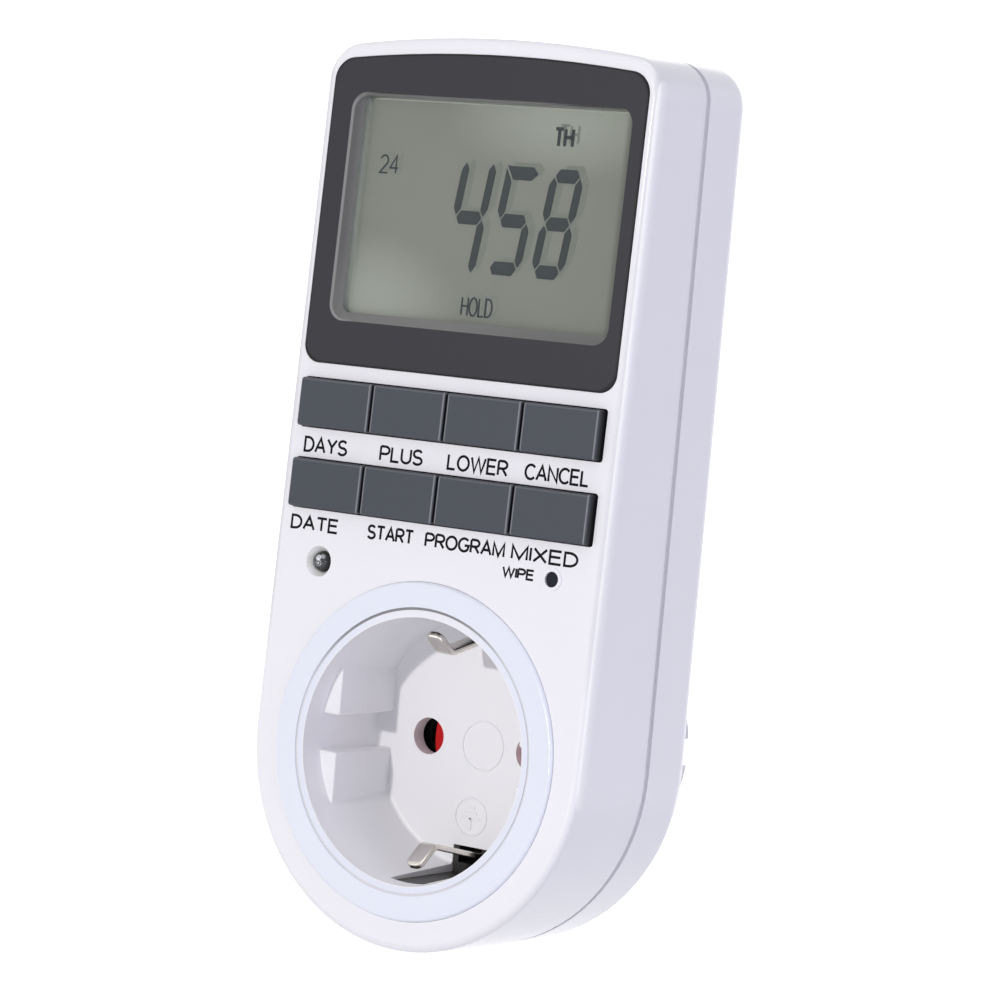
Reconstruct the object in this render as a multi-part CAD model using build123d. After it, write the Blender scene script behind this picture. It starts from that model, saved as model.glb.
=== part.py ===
"""Plug in timer switch for a round earthed two-pin wall socket.

The plug is on the back, and the switched socket, eight keys and a display are on the front.
Origin: middle of the plug's end face, between its two pins. +Y points into the wall socket,
-Y to the user, +Z up and +X to the user's right. The socket's axis is the line x = 0, z = 0.
The front leans back a little from the wall plane, so the housing is thinner at its top.
All sizes are millimetres.
"""
from build123d import *
import math
import os

# ------------------------------------------------------------------ housing
LEAN = 2.68                    # angle of the front face to the wall plane, degrees
FRONT_Y = -47.5                # front face where the socket's axis meets it
PARTING_Y = -30.5              # joint line between the two shells
REAR_Y = -18.0                 # back plane of the housing, around the plug
HALF_WIDTH = 30.0              # at the joint line; the foot is a half round of this radius
TOP_Z = 105.5
TOP_ARCH_R = 200.0
TOP_CORNER_R = 6.0
FRONT_DRAFT = 1.6              # the front shell narrows towards the user, degrees
FRONT_EDGE_R = 1.1
REAR_EDGE_R = 3.0
WALL = 2.0
GROOVE_WIDTH = 1.1             # shadow gap along the joint line
GROOVE_DEPTH = 0.5
TONGUE = 1.3                   # lip of the rear shell inside the front shell
TONGUE_WALL = 0.9
SLIP = 0.1                     # clearance between parts that slide together at assembly

# ------------------------------------------------------------------ plug
BOSS_R = 18.9
BOSS_EDGE_R = 0.8
BOSS_WALL = 2.4
BOSS_END = 2.5                 # thickness of the end wall that holds the pins
BOSS_FLAT_Z = 14.2             # the cavity stops here, behind the guide notches
PIN_SPACING = 19.0
PIN_R = 2.4
PIN_LENGTH = 19.0
PIN_TIP_R = 2.0
PIN_ROOT_R = 2.8               # thicker where it sits in the end wall
PIN_FLANGE_R = 3.4
PIN_FLANGE = 1.2
RIVET_R = 1.5
RIVET_HEAD_R = 2.0
NOTCH_CHORD = 16.1             # guide notches above and below the pins
NOTCH_LAND = 4.8               # width of the land between two notches
NOTCH_SPAN = 9.8
EARTH_STRIP_X = 18.45          # outer face of the plug's earth strips
EARTH_STRIP_WIDTH = 4.0
EARTH_STRIP_T = 0.9

# ------------------------------------------------------------------ socket
WELL_MOUTH_R = 19.75
WELL_FLOOR_R = 18.9
WELL_OUT_R = 20.8
WELL_DEPTH = 17.5
WELL_FLOOR = 2.5
RIM_PROUD = 0.4
FLANGE_R = 23.2
FLANGE_T = 1.4
HOLE_R = 2.8                   # pin holes in the floor
RIB_CHORD = 16.4               # guide ribs left and right of the holes
RIB_GAP = 5.6
RIB_SPAN = 11.0
RIB_TOP = 3.5                  # depth of their flat front ends
RIB_EDGE_R = 0.35
CLIP_Z = 16.8                  # where a clip passes through the floor
CLIP_KNEE = (-41.0, 14.5)      # y and z of its bends
CLIP_TIP = (-44.7, 17.4)
CLIP_WIDTH = 3.0
CLIP_T = 0.9
CLIP_SLOT = 6.2
CLIP_SLOT_Z = (15.6, 20.8)
CLIP_SLOT_DEPTH = 1.7
GUARD_GAP = 0.15               # between the clip slots and the black guards in them
GUARD_TONGUE_Z = 19.8
GUARD_MOUTH = (4.2, 18.2)      # width and outer edge of a guard's own slot
TRIM_R = 25.0
TRIM_SEAT = 1.0
TRIM_PROUD = 0.5
TRIM_BORE_R = 21.2
TRIM_EDGE_R = 0.45

# ------------------------------------------------------------------ shutter and contacts
SHUTTER_TURN = 40.0            # degrees from shut to open
SHUTTER_T = 1.8
SHUTTER_ARM = 3.1              # half the width of an arm
SHUTTER_REACH = 10.1
SHUTTER_HUB_R = 4.6
POST_R = 2.0
POST_GAP = 0.06                # running clearance on the post
PUSHER_Z = (6.2, 9.6)          # the peg that bears on the spring
SPRING_Z = 8.0
SPRING_REACH = 1.4             # half the height of its folds
SPRING_T = 0.25
SPRING_X = (1.1, 10.9)
SPRING_FOLDS = 4
CARRIER_R = 19.9
CARRIER_T = 1.8
CHIMNEY_X = (6.0, 13.0)
CHIMNEY_Z = 4.6
CHIMNEY_WALL = 0.8
CHIMNEY_END_Y = -11.5
CARRIER_SCREW_AT = 12.2
CONTACT_T = 0.7
CONTACT_WIDTH = 5.0
RING_R = (15.5, 19.5)
SHEET_T = 0.8                  # straps and the earth ring
STRAP_Y = -21.0                # plane where the straps climb to the power board

# ------------------------------------------------------------------ keys, lamp and reset
KEY_PITCH = 13.55
KEY_WIDTH = 13.2
KEY_HEIGHT = 7.3
KEY_ROWS = (49.35, 37.2)
KEY_PROUD = 1.6
KEY_TRAVEL = 0.8
KEY_EDGE_R = 0.35
KEY_FLANGE_HEIGHT = 9.7
KEY_SLOT = (54.6, 7.7)
DOME_TOP = 6.1                 # depths below the front face
MAT_FACE = 8.0
KEY_NAMES = (
    ("week_key", "hour_key", "minute_key", "recall_key"),
    ("clock_key", "timer_key", "mode_key", "random_key"),
)
LAMP_AT = (-21.0, 25.7)
LAMP_R = 1.5
RESET_AT = (21.1, 28.0)
RESET_HOLE_R = 1.15
RESET_R = 1.08
RESET_COLLAR_R = 1.65
RESET_DEPTH = 0.1              # front of the button below the face

# ------------------------------------------------------------------ display
BEZEL_HALF = 28.1
BEZEL_Z = (55.4, 102.8)
BEZEL_ARCH_R = 240.0
BEZEL_TOP_R = 3.5
BEZEL_FOOT_R = 2.8
BEZEL_SEAT = 1.1
BEZEL_PROUD = 0.25
VIEW_X = (-24.2, 25.9)         # the opening at the front of the surround
VIEW_Z = (62.0, 96.3)
VIEW_SLOPES = (1.4, 0.5, 1.4, 0.35)     # how much it narrows left, right, below and above
VIEW_CORNER_R = 2.6
LAMP_DOME_AT = 1.0             # depth of the lamp dome's centre
PANE_T = 1.2
PANE_MARGIN = 0.6
LCD_FRONT = 2.5
LCD_T = 2.4

# ------------------------------------------------------------------ boards and screws
BOARD_T = 1.6
DISPLAY_BOARD_DEPTH = 9.0
DISPLAY_BOARD_HALF = 27.0
DISPLAY_BOARD_Z = (24.5, 97.4)
DISPLAY_SCREWS = ((-24.8, 57.3), (24.8, 57.3), (-9.0, 28.4), (9.0, 28.4))
POWER_BOARD_Y = -22.0
POWER_BOARD_HALF = 26.0
POWER_BOARD_Z = (31.0, 96.0)
POWER_SCREWS = ((-23.0, 34.5), (23.0, 34.5), (-23.0, 92.5), (23.0, 92.5))
CASE_SCREWS = ((-22.0, 99.9), (22.0, 99.9), (-17.25, -17.25), (17.25, -17.25))
CASE_BOSS_R = 2.4
CASE_TUBE_R = 3.2
CASE_SCREW_R = 1.2
CASE_HEAD_R = 2.4
CASE_HEAD_SEAT_Y = -21.5

FLOOR_Y = FRONT_Y + WELL_DEPTH
FLOOR_BACK_Y = FLOOR_Y + WELL_FLOOR
SHUTTER_Y = (FLOOR_BACK_Y + 0.2, FLOOR_BACK_Y + 0.2 + SHUTTER_T)
CARRIER_Y = (SHUTTER_Y[1] + 0.3, SHUTTER_Y[1] + 0.3 + CARRIER_T)
RING_Y = (CARRIER_Y[1] + 0.2, CARRIER_Y[1] + 0.2 + SHEET_T)
HOLE_X = PIN_SPACING / 2
PIN_Z = PIN_SPACING / 2
NEUTRAL_LINK_Y = -9.85         # front face of the plate that joins contact and neutral pin

TILT = math.radians(LEAN)
FACE = Plane(origin=(0, FRONT_Y, 0), x_dir=(1, 0, 0), z_dir=(0, -math.cos(TILT), math.sin(TILT)))


# ------------------------------------------------------------------ drawing aids
def upright(y):
    """Plane parallel to the wall: local x to the right, local y up, normal to the user."""
    return Plane(origin=(0, y, 0), x_dir=(1, 0, 0), z_dir=(0, -1, 0))


def slab(outline, y_rear, y_front):
    """Prism square to the wall plane between two y values."""
    return extrude(upright(y_rear) * outline, amount=y_rear - y_front)


def rod(radius, y_rear, y_front, x=0.0, z=0.0):
    """Round bar along Y."""
    return slab(Pos(x, z) * Circle(radius), y_rear, y_front)


def on_face(outline, deep, shallow):
    """Prism square to the leaning front, between two depths below it (negative is proud)."""
    return extrude(FACE.offset(-deep) * outline, amount=deep - shallow)


def face_rod(radius, deep, shallow, at):
    """Round bar square to the leaning front."""
    return on_face(Pos(*at) * Circle(radius), deep, shallow)


def rect(x_low, x_high, z_low, z_high, corner=0.0):
    """Rectangle by its edges, with round corners if asked."""
    width = x_high - x_low
    height = z_high - z_low
    shape = RectangleRounded(width, height, corner) if corner else Rectangle(width, height)
    return Pos((x_low + x_high) / 2, (z_low + z_high) / 2) * shape


def strip(points, width, thickness, bend, x=0.0):
    """Sheet metal bent along (y, z) points, centred on x, with the given bend radius."""
    side = Plane(origin=(x, 0, 0), x_dir=(0, 1, 0), z_dir=(1, 0, 0))
    profile = trace(FilletPolyline(*points, radius=bend), thickness)
    return extrude(side * profile, amount=width / 2, both=True)


def behind(part, plane):
    """The piece of a part on the wall side of a plane whose normal points to the user."""
    return split(part, bisect_by=plane, keep=Keep.BOTTOM)


def edges_on(part, plane):
    """Edges of a part that lie in a plane."""
    flat = ShapeList()
    for edge in part.edges():
        ends = [plane.to_local_coords(edge @ t).Z for t in (0.0, 0.3, 0.6, 1.0)]
        if max(abs(z) for z in ends) < 1e-4:
            flat.append(edge)
    return flat


def arched_outline(half, foot_z, top_z, arch_r, top_corner, foot_corner):
    """Upright rectangle under a shallow arch, with its corners rounded."""
    shape = rect(-half, half, foot_z, top_z) & (Pos(0, top_z - arch_r) * Circle(arch_r))
    ranked = shape.vertices().sort_by(Axis.Y)
    shape = fillet(ranked[-2:], top_corner)
    low = shape.vertices().sort_by(Axis.Y)[:2]
    return fillet(low, foot_corner)


def body_outline(inset=0.0):
    """Straight sides on a half-round foot about the socket's axis, under a shallow arch."""
    half = HALF_WIDTH - inset
    shape = Circle(half) + rect(-half, half, 0, TOP_Z)
    shape = shape & (Pos(0, TOP_Z - TOP_ARCH_R) * Circle(TOP_ARCH_R - inset))
    corners = shape.vertices().sort_by(Axis.Y)[-2:]
    return fillet(corners, max(TOP_CORNER_R - inset, 1.0))


# ------------------------------------------------------------------ shells
def front_block(inset, depth):
    """Drafted block ahead of the joint line, cut off by the leaning face at a depth."""
    block = extrude(upright(PARTING_Y) * body_outline(inset), amount=24, taper=FRONT_DRAFT)
    return behind(block, FACE.offset(-depth))


def front_shell():
    outer = front_block(0.0, 0.0)
    outer = fillet(edges_on(outer, FACE), FRONT_EDGE_R)
    shell = outer - front_block(WALL, WALL)
    bosses = [rod(CASE_BOSS_R, PARTING_Y, FRONT_Y - 1, x, z) for x, z in CASE_SCREWS]
    inner = front_block(0.5, 1.0)
    for boss in bosses:
        shell += boss & inner
    for at in DISPLAY_SCREWS:
        shell += face_rod(2.0, DISPLAY_BOARD_DEPTH, 1.5, at)
        shell -= face_rod(0.9, DISPLAY_BOARD_DEPTH, 3.0, at)
    for x, z in CASE_SCREWS:
        shell -= rod(CASE_SCREW_R, PARTING_Y, -40.0, x, z)
    shell += face_rod(RESET_COLLAR_R, 0.5, -0.2, RESET_AT)
    shell -= face_rod(RESET_HOLE_R, 3.0, -1.0, RESET_AT)
    shell -= rod(WELL_OUT_R + SLIP, -40.0, -54.0)
    shell -= face_rod(TRIM_R + 0.05, TRIM_SEAT, -1.0, (0, 0))
    shell -= on_face(bezel_outline(0.05), BEZEL_SEAT, -1.0)
    shell -= on_face(pane_outline(0.1), 3.0, 0.0)
    for row_z in KEY_ROWS:
        wide, high = KEY_SLOT
        shell -= on_face(rect(-wide / 2, wide / 2, row_z - high / 2, row_z + high / 2, 0.5), 3.0, -1.0)
    dimple = FACE.offset(-1.2) * Pos(*LAMP_AT) * Cone(
        LAMP_R + 0.1, 2.35, 1.25, align=(Align.CENTER, Align.CENTER, Align.MIN))
    shell -= dimple
    shell -= face_rod(LAMP_R + 0.1, 3.0, 0.0, LAMP_AT)
    return shell


def rear_shell():
    block = slab(body_outline(), REAR_Y, PARTING_Y)
    block = fillet(edges_on(block, upright(REAR_Y)), REAR_EDGE_R)
    shell = block - slab(body_outline(WALL), REAR_Y - WALL, PARTING_Y)
    groove_rear = PARTING_Y + GROOVE_WIDTH
    shell -= slab(body_outline(-1.0), groove_rear, PARTING_Y) - slab(
        body_outline(GROOVE_DEPTH), groove_rear, PARTING_Y)
    lip_in = WALL + SLIP + TONGUE_WALL
    lip = slab(body_outline(WALL + SLIP), PARTING_Y + 3.0, PARTING_Y - TONGUE) - slab(
        body_outline(lip_in), PARTING_Y + 3.0, PARTING_Y - TONGUE)
    for x, z in CASE_SCREWS:
        lip -= rod(CASE_BOSS_R + SLIP, PARTING_Y, PARTING_Y - TONGUE, x, z)
    shell += lip

    boss = rod(BOSS_R, 0.0, REAR_Y - WALL)
    boss = fillet(edges_on(boss, upright(0.0)), BOSS_EDGE_R)
    shell += boss
    cavity_r = BOSS_R - BOSS_WALL
    cavity = Circle(cavity_r) & Rectangle(2 * cavity_r, 2 * BOSS_FLAT_Z)
    shell -= slab(cavity, -BOSS_END, REAR_Y - WALL)
    for side in (-1, 1):
        for way in (-1, 1):
            low, high = sorted((way * NOTCH_LAND / 2, way * NOTCH_SPAN))
            bottom, top = sorted((side * NOTCH_CHORD, side * (BOSS_R + 1)))
            shell -= slab(rect(low, high, bottom, top), 1.0, REAR_Y + 1.0)
        outer = side * (BOSS_R + 1)
        inner = side * (EARTH_STRIP_X - EARTH_STRIP_T - 0.05)
        low, high = sorted((outer, inner))
        half = EARTH_STRIP_WIDTH / 2 + 0.1
        shell -= slab(rect(low, high, -half, half), 1.0, REAR_Y + 0.05)
        low, high = sorted((side * (EARTH_STRIP_X + 0.05), inner))
        shell -= slab(rect(low, high, -half, half), 0.0, REAR_Y - WALL - 1)
        low, high = sorted((inner, side * 14.3))
        shell -= slab(rect(low, high, -half, half), 1.0, -EARTH_STRIP_T - 0.05)
        shell -= rod(PIN_ROOT_R, 1.0, -BOSS_END - 1, 0, side * PIN_Z)

    for x, z in CASE_SCREWS:
        shell += rod(CASE_TUBE_R, REAR_Y - 0.5, PARTING_Y, x, z) & slab(
            body_outline(0.5), REAR_Y, PARTING_Y)
        shell -= rod(CASE_HEAD_R + 0.15, REAR_Y + 1, CASE_HEAD_SEAT_Y, x, z)
        shell -= rod(CASE_SCREW_R + 0.2, REAR_Y, PARTING_Y - 2, x, z)
    for x, z in POWER_SCREWS:
        shell += rod(2.4, REAR_Y - WALL + 0.5, POWER_BOARD_Y, x, z)
        shell -= rod(0.9, REAR_Y - 1.0, POWER_BOARD_Y - 1, x, z)
    return shell


# ------------------------------------------------------------------ socket
def socket_well():
    well = rod(WELL_OUT_R, FLOOR_BACK_Y, FRONT_Y - 5)
    well = behind(well, FACE.offset(RIM_PROUD))
    well += rod(FLANGE_R, FLOOR_BACK_Y, FRONT_Y - 5) & on_face(
        Circle(FLANGE_R + 3), WALL + SLIP + FLANGE_T, WALL + SLIP)
    mouth = upright(FLOOR_Y) * Cone(
        WELL_FLOOR_R, WELL_MOUTH_R, WELL_DEPTH, align=(Align.CENTER, Align.CENTER, Align.MIN))
    well -= fillet(edges_on(mouth, upright(FLOOR_Y)), 0.6)
    well -= rod(WELL_MOUTH_R, FRONT_Y, FRONT_Y - 5)
    for side in (-1, 1):
        left, right = sorted((side * RIB_CHORD, side * (WELL_OUT_R - 0.4)))
        for low, high in ((RIB_GAP / 2, RIB_SPAN), (-RIB_SPAN, -RIB_GAP / 2)):
            rib = slab(rect(left, right, low, high), FLOOR_Y, FRONT_Y + RIB_TOP)
            bare = [e for e in rib.edges()
                    if abs(e.center().X) < WELL_OUT_R - 0.5 and e.center().Y < FLOOR_Y - 0.1]
            well += fillet(bare, RIB_EDGE_R) & rod(WELL_OUT_R - 0.3, FLOOR_Y, FRONT_Y)
        well -= rod(HOLE_R, FLOOR_BACK_Y, FLOOR_Y - 1, side * HOLE_X, 0)
        bottom, top = sorted(side * z for z in CLIP_SLOT_Z)
        slot = rect(-CLIP_SLOT / 2, CLIP_SLOT / 2, bottom, top)
        well -= slab(slot, FLOOR_BACK_Y, FRONT_Y + CLIP_SLOT_DEPTH)
        well -= rod(1.0, FLOOR_BACK_Y, FLOOR_BACK_Y - 1.4, side * CARRIER_SCREW_AT, -side * CARRIER_SCREW_AT)
    for x, z in CASE_SCREWS[2:]:
        well -= rod(CASE_BOSS_R + 0.3, PARTING_Y, FRONT_Y - 1, x, z) - rod(
            WELL_OUT_R, PARTING_Y, FRONT_Y - 1)
    well += rod(POST_R, SHUTTER_Y[1] + 0.15, FLOOR_BACK_Y)
    return well


def socket_trim_ring():
    ring = face_rod(TRIM_R, TRIM_SEAT, -TRIM_PROUD, (0, 0))
    ring -= face_rod(TRIM_BORE_R, TRIM_SEAT + 1, -TRIM_PROUD - 1, (0, 0))
    inner, outer = edges_on(ring, FACE.offset(TRIM_PROUD)).sort_by(SortBy.LENGTH)
    return fillet(outer, TRIM_EDGE_R)


def earth_clip(side):
    """Spring strip: through the floor, in to the knee that bears on a plug, and out at its tip."""
    path = [
        (RING_Y[0], side * CLIP_Z),
        (FLOOR_Y + 0.2, side * CLIP_Z),
        (CLIP_KNEE[0], side * CLIP_KNEE[1]),
        (CLIP_TIP[0], side * CLIP_TIP[1]),
    ]
    return strip(path, CLIP_WIDTH, CLIP_T, 1.6)


# ------------------------------------------------------------------ shutter and contacts
def safety_shutter():
    """Two arms that hide the pin holes, on a hub, with a peg for the spring."""
    reach = SHUTTER_REACH
    arms = rect(-reach, reach, -SHUTTER_ARM, SHUTTER_ARM) & Circle(reach)
    disc = slab(arms + Circle(SHUTTER_HUB_R), SHUTTER_Y[1], SHUTTER_Y[0])
    disc = chamfer(edges_on(disc, upright(SHUTTER_Y[0])).filter_by(GeomType.LINE), 0.6)
    disc += slab(rect(-1, 1, 3.5, PUSHER_Z[1]), SHUTTER_Y[1], SHUTTER_Y[0])
    disc += slab(rect(-1, 1, *PUSHER_Z), CARRIER_Y[1] - 0.5, SHUTTER_Y[0])
    return disc - rod(POST_R + POST_GAP, CARRIER_Y[1], SHUTTER_Y[0])


def shutter_spring():
    """Strip folded to and fro between the shutter's peg and the end of its pocket."""
    start, end = SPRING_X
    step = (end - start - SPRING_T) / (2 * SPRING_FOLDS)
    low, high = SPRING_Z - SPRING_REACH, SPRING_Z + SPRING_REACH
    folds = []
    for i in range(2 * SPRING_FOLDS + 1):
        x = start + SPRING_T / 2 + i * step
        folds += [(x, low), (x, high)] if i % 2 == 0 else [(x, high), (x, low)]
    path = FilletPolyline(*folds, radius=0.3)
    return slab(trace(path, SPRING_T), CARRIER_Y[1] - 0.2, SHUTTER_Y[0] + 0.6)


def contact_carrier():
    """Moulded plate behind the shutter: a chimney round each contact, and a guard round each clip
    that fills the slot in the floor and runs along the slot in the wall."""
    plate = rod(CARRIER_R, CARRIER_Y[1], CARRIER_Y[0])
    half = CLIP_SLOT / 2 - GUARD_GAP
    for side in (-1, 1):
        outer = side * (CLIP_SLOT_Z[1] - 0.4)
        low, high = sorted((side * (CLIP_SLOT_Z[0] + GUARD_GAP), outer))
        plate += slab(rect(-half, half, low, high), CARRIER_Y[1], FLOOR_Y + 0.1)
        low, high = sorted((side * GUARD_TONGUE_Z, outer))
        plate += slab(rect(-half, half, low, high), FLOOR_Y + 0.1, FRONT_Y + CLIP_SLOT_DEPTH + GUARD_GAP)
        low, high = sorted((side * CHIMNEY_X[0], side * CHIMNEY_X[1]))
        plate += slab(rect(low, high, -CHIMNEY_Z, CHIMNEY_Z, 0.6), CHIMNEY_END_Y, CARRIER_Y[1])
        plate += rod(2.4, CARRIER_Y[0], FLOOR_BACK_Y, side * CARRIER_SCREW_AT, -side * CARRIER_SCREW_AT)
    plate += slab(rect(-2.2, SPRING_X[1] + 0.5, 3.4, 10.3), CARRIER_Y[1] + 0.5, CARRIER_Y[1])
    for side in (-1, 1):
        low, high = sorted((side * CHIMNEY_X[0], side * CHIMNEY_X[1]))
        inner = CHIMNEY_Z - CHIMNEY_WALL
        pocket = rect(low + CHIMNEY_WALL, high - CHIMNEY_WALL, -inner, inner)
        plate -= slab(pocket, CHIMNEY_END_Y, CARRIER_Y[1])
        plate -= rod(HOLE_R + 0.1, CARRIER_Y[1], CARRIER_Y[0], side * HOLE_X, 0)
        plate -= rod(1.2, CARRIER_Y[1], FLOOR_BACK_Y, side * CARRIER_SCREW_AT, -side * CARRIER_SCREW_AT)
        wide, edge = GUARD_MOUTH
        bottom, top = sorted((side * (CLIP_SLOT_Z[0] - 0.3), side * edge))
        plate -= slab(rect(-wide / 2, wide / 2, bottom, top), CARRIER_Y[1], FLOOR_Y)
    return plate - slab(rect(-1.7, SPRING_X[1] + 0.1, 3.7, 10.0), CARRIER_Y[1], CARRIER_Y[0])


def socket_contact(x):
    """Two spring leaves with flared mouths, joined behind the end of the pin."""
    leaf = PIN_R + CONTACT_T / 2
    path = [
        (-22.9, leaf + 0.7), (-21.0, leaf), (-10.2, leaf),
        (-10.2, -leaf), (-21.0, -leaf), (-22.9, -leaf - 0.7),
    ]
    return strip(path, CONTACT_WIDTH, CONTACT_T, 1.0, x)


def board_strap(x, start_y):
    """Strap from the back of a contact, round its chimney and up to the power board."""
    path = [(start_y, -1.5), (start_y, 5.6), (STRAP_Y, 5.6), (STRAP_Y, 33.5), (POWER_BOARD_Y, 33.5)]
    return strip(path, CONTACT_WIDTH, CONTACT_T, 0.5, x)


def live_in_strap():
    """From the live pin's rivet, forward inside the plug and up to the power board."""
    eye_y = -BOSS_END - PIN_FLANGE - SHEET_T / 2
    path = [(eye_y, PIN_Z - 2.6), (eye_y, 12.6), (STRAP_Y, 12.6), (STRAP_Y, 33.5), (POWER_BOARD_Y, 33.5)]
    return strip(path, CONTACT_WIDTH, SHEET_T, 0.5) - rod(RIVET_R, 0, -6.0, 0, PIN_Z)


def neutral_link():
    """Flat plate from the neutral contact to the neutral pin."""
    plate = trace(Line((HOLE_X, 0), (0, -PIN_Z)), CONTACT_WIDTH) + Pos(0, -PIN_Z) * Circle(3.0)
    plate += rect(HOLE_X - 2.5, HOLE_X + 2.5, -2.5, 2.5)
    return slab(plate, NEUTRAL_LINK_Y + SHEET_T, NEUTRAL_LINK_Y) - rod(RIVET_R, 0, -12, 0, -PIN_Z)


def earth_link_ring():
    ring = rod(RING_R[1], RING_Y[1], RING_Y[0]) - rod(RING_R[0], RING_Y[1], RING_Y[0])
    for side in (-1, 1):
        ring -= rod(1.2, RING_Y[1], RING_Y[0], side * CARRIER_SCREW_AT, -side * CARRIER_SCREW_AT)
    return ring


def plug_earth_strip(side):
    """Strip along the plug's side, hooked over its end face and run in to the earth ring."""
    mid = side * (EARTH_STRIP_X - EARTH_STRIP_T / 2)
    flat = Plane(origin=(0, 0, 0), x_dir=(1, 0, 0), z_dir=(0, 0, 1))
    path = FilletPolyline(
        (mid, RING_Y[1]), (mid, -EARTH_STRIP_T / 2), (side * 14.6, -EARTH_STRIP_T / 2), radius=0.7)
    return extrude(flat * trace(path, EARTH_STRIP_T), amount=EARTH_STRIP_WIDTH / 2, both=True)


def plug_pin(z, rivet_y):
    """Solid round pin with a rounded tip, a flange behind the wall and a rivet for its strap."""
    pin = rod(PIN_R, PIN_LENGTH, -BOSS_END, 0, z)
    pin = fillet(edges_on(pin, upright(PIN_LENGTH)), PIN_TIP_R)
    pin += rod(PIN_ROOT_R, 0, -BOSS_END, 0, z)
    pin += rod(PIN_FLANGE_R, -BOSS_END, -BOSS_END - PIN_FLANGE, 0, z)
    pin += rod(RIVET_R, -BOSS_END, rivet_y, 0, z)
    return pin + rod(RIVET_HEAD_R, rivet_y, rivet_y - 0.8, 0, z)


# ------------------------------------------------------------------ keys, lamp and reset
def key_place(row, column):
    return ((column - 1.5) * KEY_PITCH, KEY_ROWS[row])


def key(row, column):
    """Flat cap with rounded edges, a flange that keeps it in, and a plunger."""
    x, z = key_place(row, column)
    cap = on_face(rect(x - KEY_WIDTH / 2, x + KEY_WIDTH / 2, z - KEY_HEIGHT / 2, z + KEY_HEIGHT / 2, 0.45),
                  WALL + 0.6, -KEY_PROUD)
    cap = fillet(edges_on(cap, FACE.offset(KEY_PROUD)), KEY_EDGE_R)
    flange = rect(x - KEY_WIDTH / 2, x + KEY_WIDTH / 2,
                  z - KEY_FLANGE_HEIGHT / 2, z + KEY_FLANGE_HEIGHT / 2)
    cap += on_face(flange, WALL + 1.0, WALL + 0.1)
    return cap + face_rod(1.6, DOME_TOP - 0.1, WALL + 1.0, (x, z))


def key_mat():
    """Rubber sheet with one dome under each key."""
    mat = on_face(rect(-26.8, 26.8, 32.0, 54.6, 1.0), DISPLAY_BOARD_DEPTH, MAT_FACE)
    for row in range(2):
        for column in range(4):
            dome = FACE.offset(-MAT_FACE) * Pos(*key_place(row, column)) * Cone(
                3.2, 1.9, MAT_FACE - DOME_TOP, align=(Align.CENTER, Align.CENTER, Align.MIN))
            mat += dome
    return mat


def reset_button():
    """Thin plunger, reached with a pen tip, with a flange behind the face."""
    button = face_rod(RESET_R, 5.0, RESET_DEPTH, RESET_AT)
    return button + face_rod(1.9, WALL + 1.1, WALL + 0.2, RESET_AT)


def reset_switch():
    x, z = RESET_AT
    body = on_face(rect(x - 3, x + 3, z - 3, z + 3, 0.4), DISPLAY_BOARD_DEPTH, 6.1)
    return body + face_rod(1.7, 6.1, 5.55, RESET_AT)


def led_lamp():
    """Round-nosed lamp with a collar and two legs."""
    lamp = face_rod(LAMP_R, 6.0, LAMP_DOME_AT, LAMP_AT)
    lamp += FACE.offset(-LAMP_DOME_AT) * Pos(*LAMP_AT) * Sphere(LAMP_R)
    lamp += face_rod(1.9, 6.0, 5.0, LAMP_AT)
    for way in (-1, 1):
        leg = (LAMP_AT[0] + way * 1.27, LAMP_AT[1])
        lamp += face_rod(0.25, DISPLAY_BOARD_DEPTH + BOARD_T + 0.8, 6.0, leg)
    return lamp


# ------------------------------------------------------------------ display
def bezel_outline(grow=0.0):
    return arched_outline(BEZEL_HALF + grow, BEZEL_Z[0] - grow, BEZEL_Z[1] + grow,
                          BEZEL_ARCH_R, BEZEL_TOP_R, BEZEL_FOOT_R)


def pane_outline(grow=0.0):
    edge = PANE_MARGIN + grow
    return rect(VIEW_X[0] - edge, VIEW_X[1] + edge, VIEW_Z[0] - edge, VIEW_Z[1] + edge, VIEW_CORNER_R)


def display_bezel():
    bezel = on_face(bezel_outline(), BEZEL_SEAT, -BEZEL_PROUD)
    bezel = fillet(edges_on(bezel, FACE.offset(BEZEL_PROUD)), 0.2)
    left, right, below, above = VIEW_SLOPES
    wide = rect(*VIEW_X, *VIEW_Z, VIEW_CORNER_R)
    narrow = rect(VIEW_X[0] + left, VIEW_X[1] - right, VIEW_Z[0] + below, VIEW_Z[1] - above,
                  VIEW_CORNER_R - left)
    return bezel - loft([FACE.offset(-BEZEL_SEAT) * narrow, FACE.offset(BEZEL_PROUD) * wide])


def display_window():
    return on_face(pane_outline(), BEZEL_SEAT + 0.05 + PANE_T, BEZEL_SEAT + 0.05)


def lcd_panel():
    front = on_face(rect(-24.9, 24.9, 61.8, 96.4), LCD_FRONT + LCD_T / 2, LCD_FRONT)
    back = on_face(rect(-24.9, 24.9, 60.4, 96.4), LCD_FRONT + LCD_T, LCD_FRONT + LCD_T / 2)
    return front + back


def lcd_holder():
    """Frame between the display glass and its board."""
    deep = DISPLAY_BOARD_DEPTH
    frame = on_face(rect(-26.4, 26.4, 59.7, 97.4, 0.8), deep, LCD_FRONT)
    frame -= on_face(rect(-25.1, 25.1, 60.2, 96.6), LCD_FRONT + LCD_T + 0.1, LCD_FRONT)
    frame -= on_face(rect(-22.5, 22.5, 66.0, 93.5, 1.0), deep, LCD_FRONT)
    return frame - on_face(rect(-22.2, 22.2, 61.0, 63.4), deep, LCD_FRONT)


def lcd_connector():
    """Rubber strip of fine conductors between the glass and the board."""
    return on_face(rect(-22.0, 22.0, 61.1, 63.3), DISPLAY_BOARD_DEPTH, LCD_FRONT + LCD_T)


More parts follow.
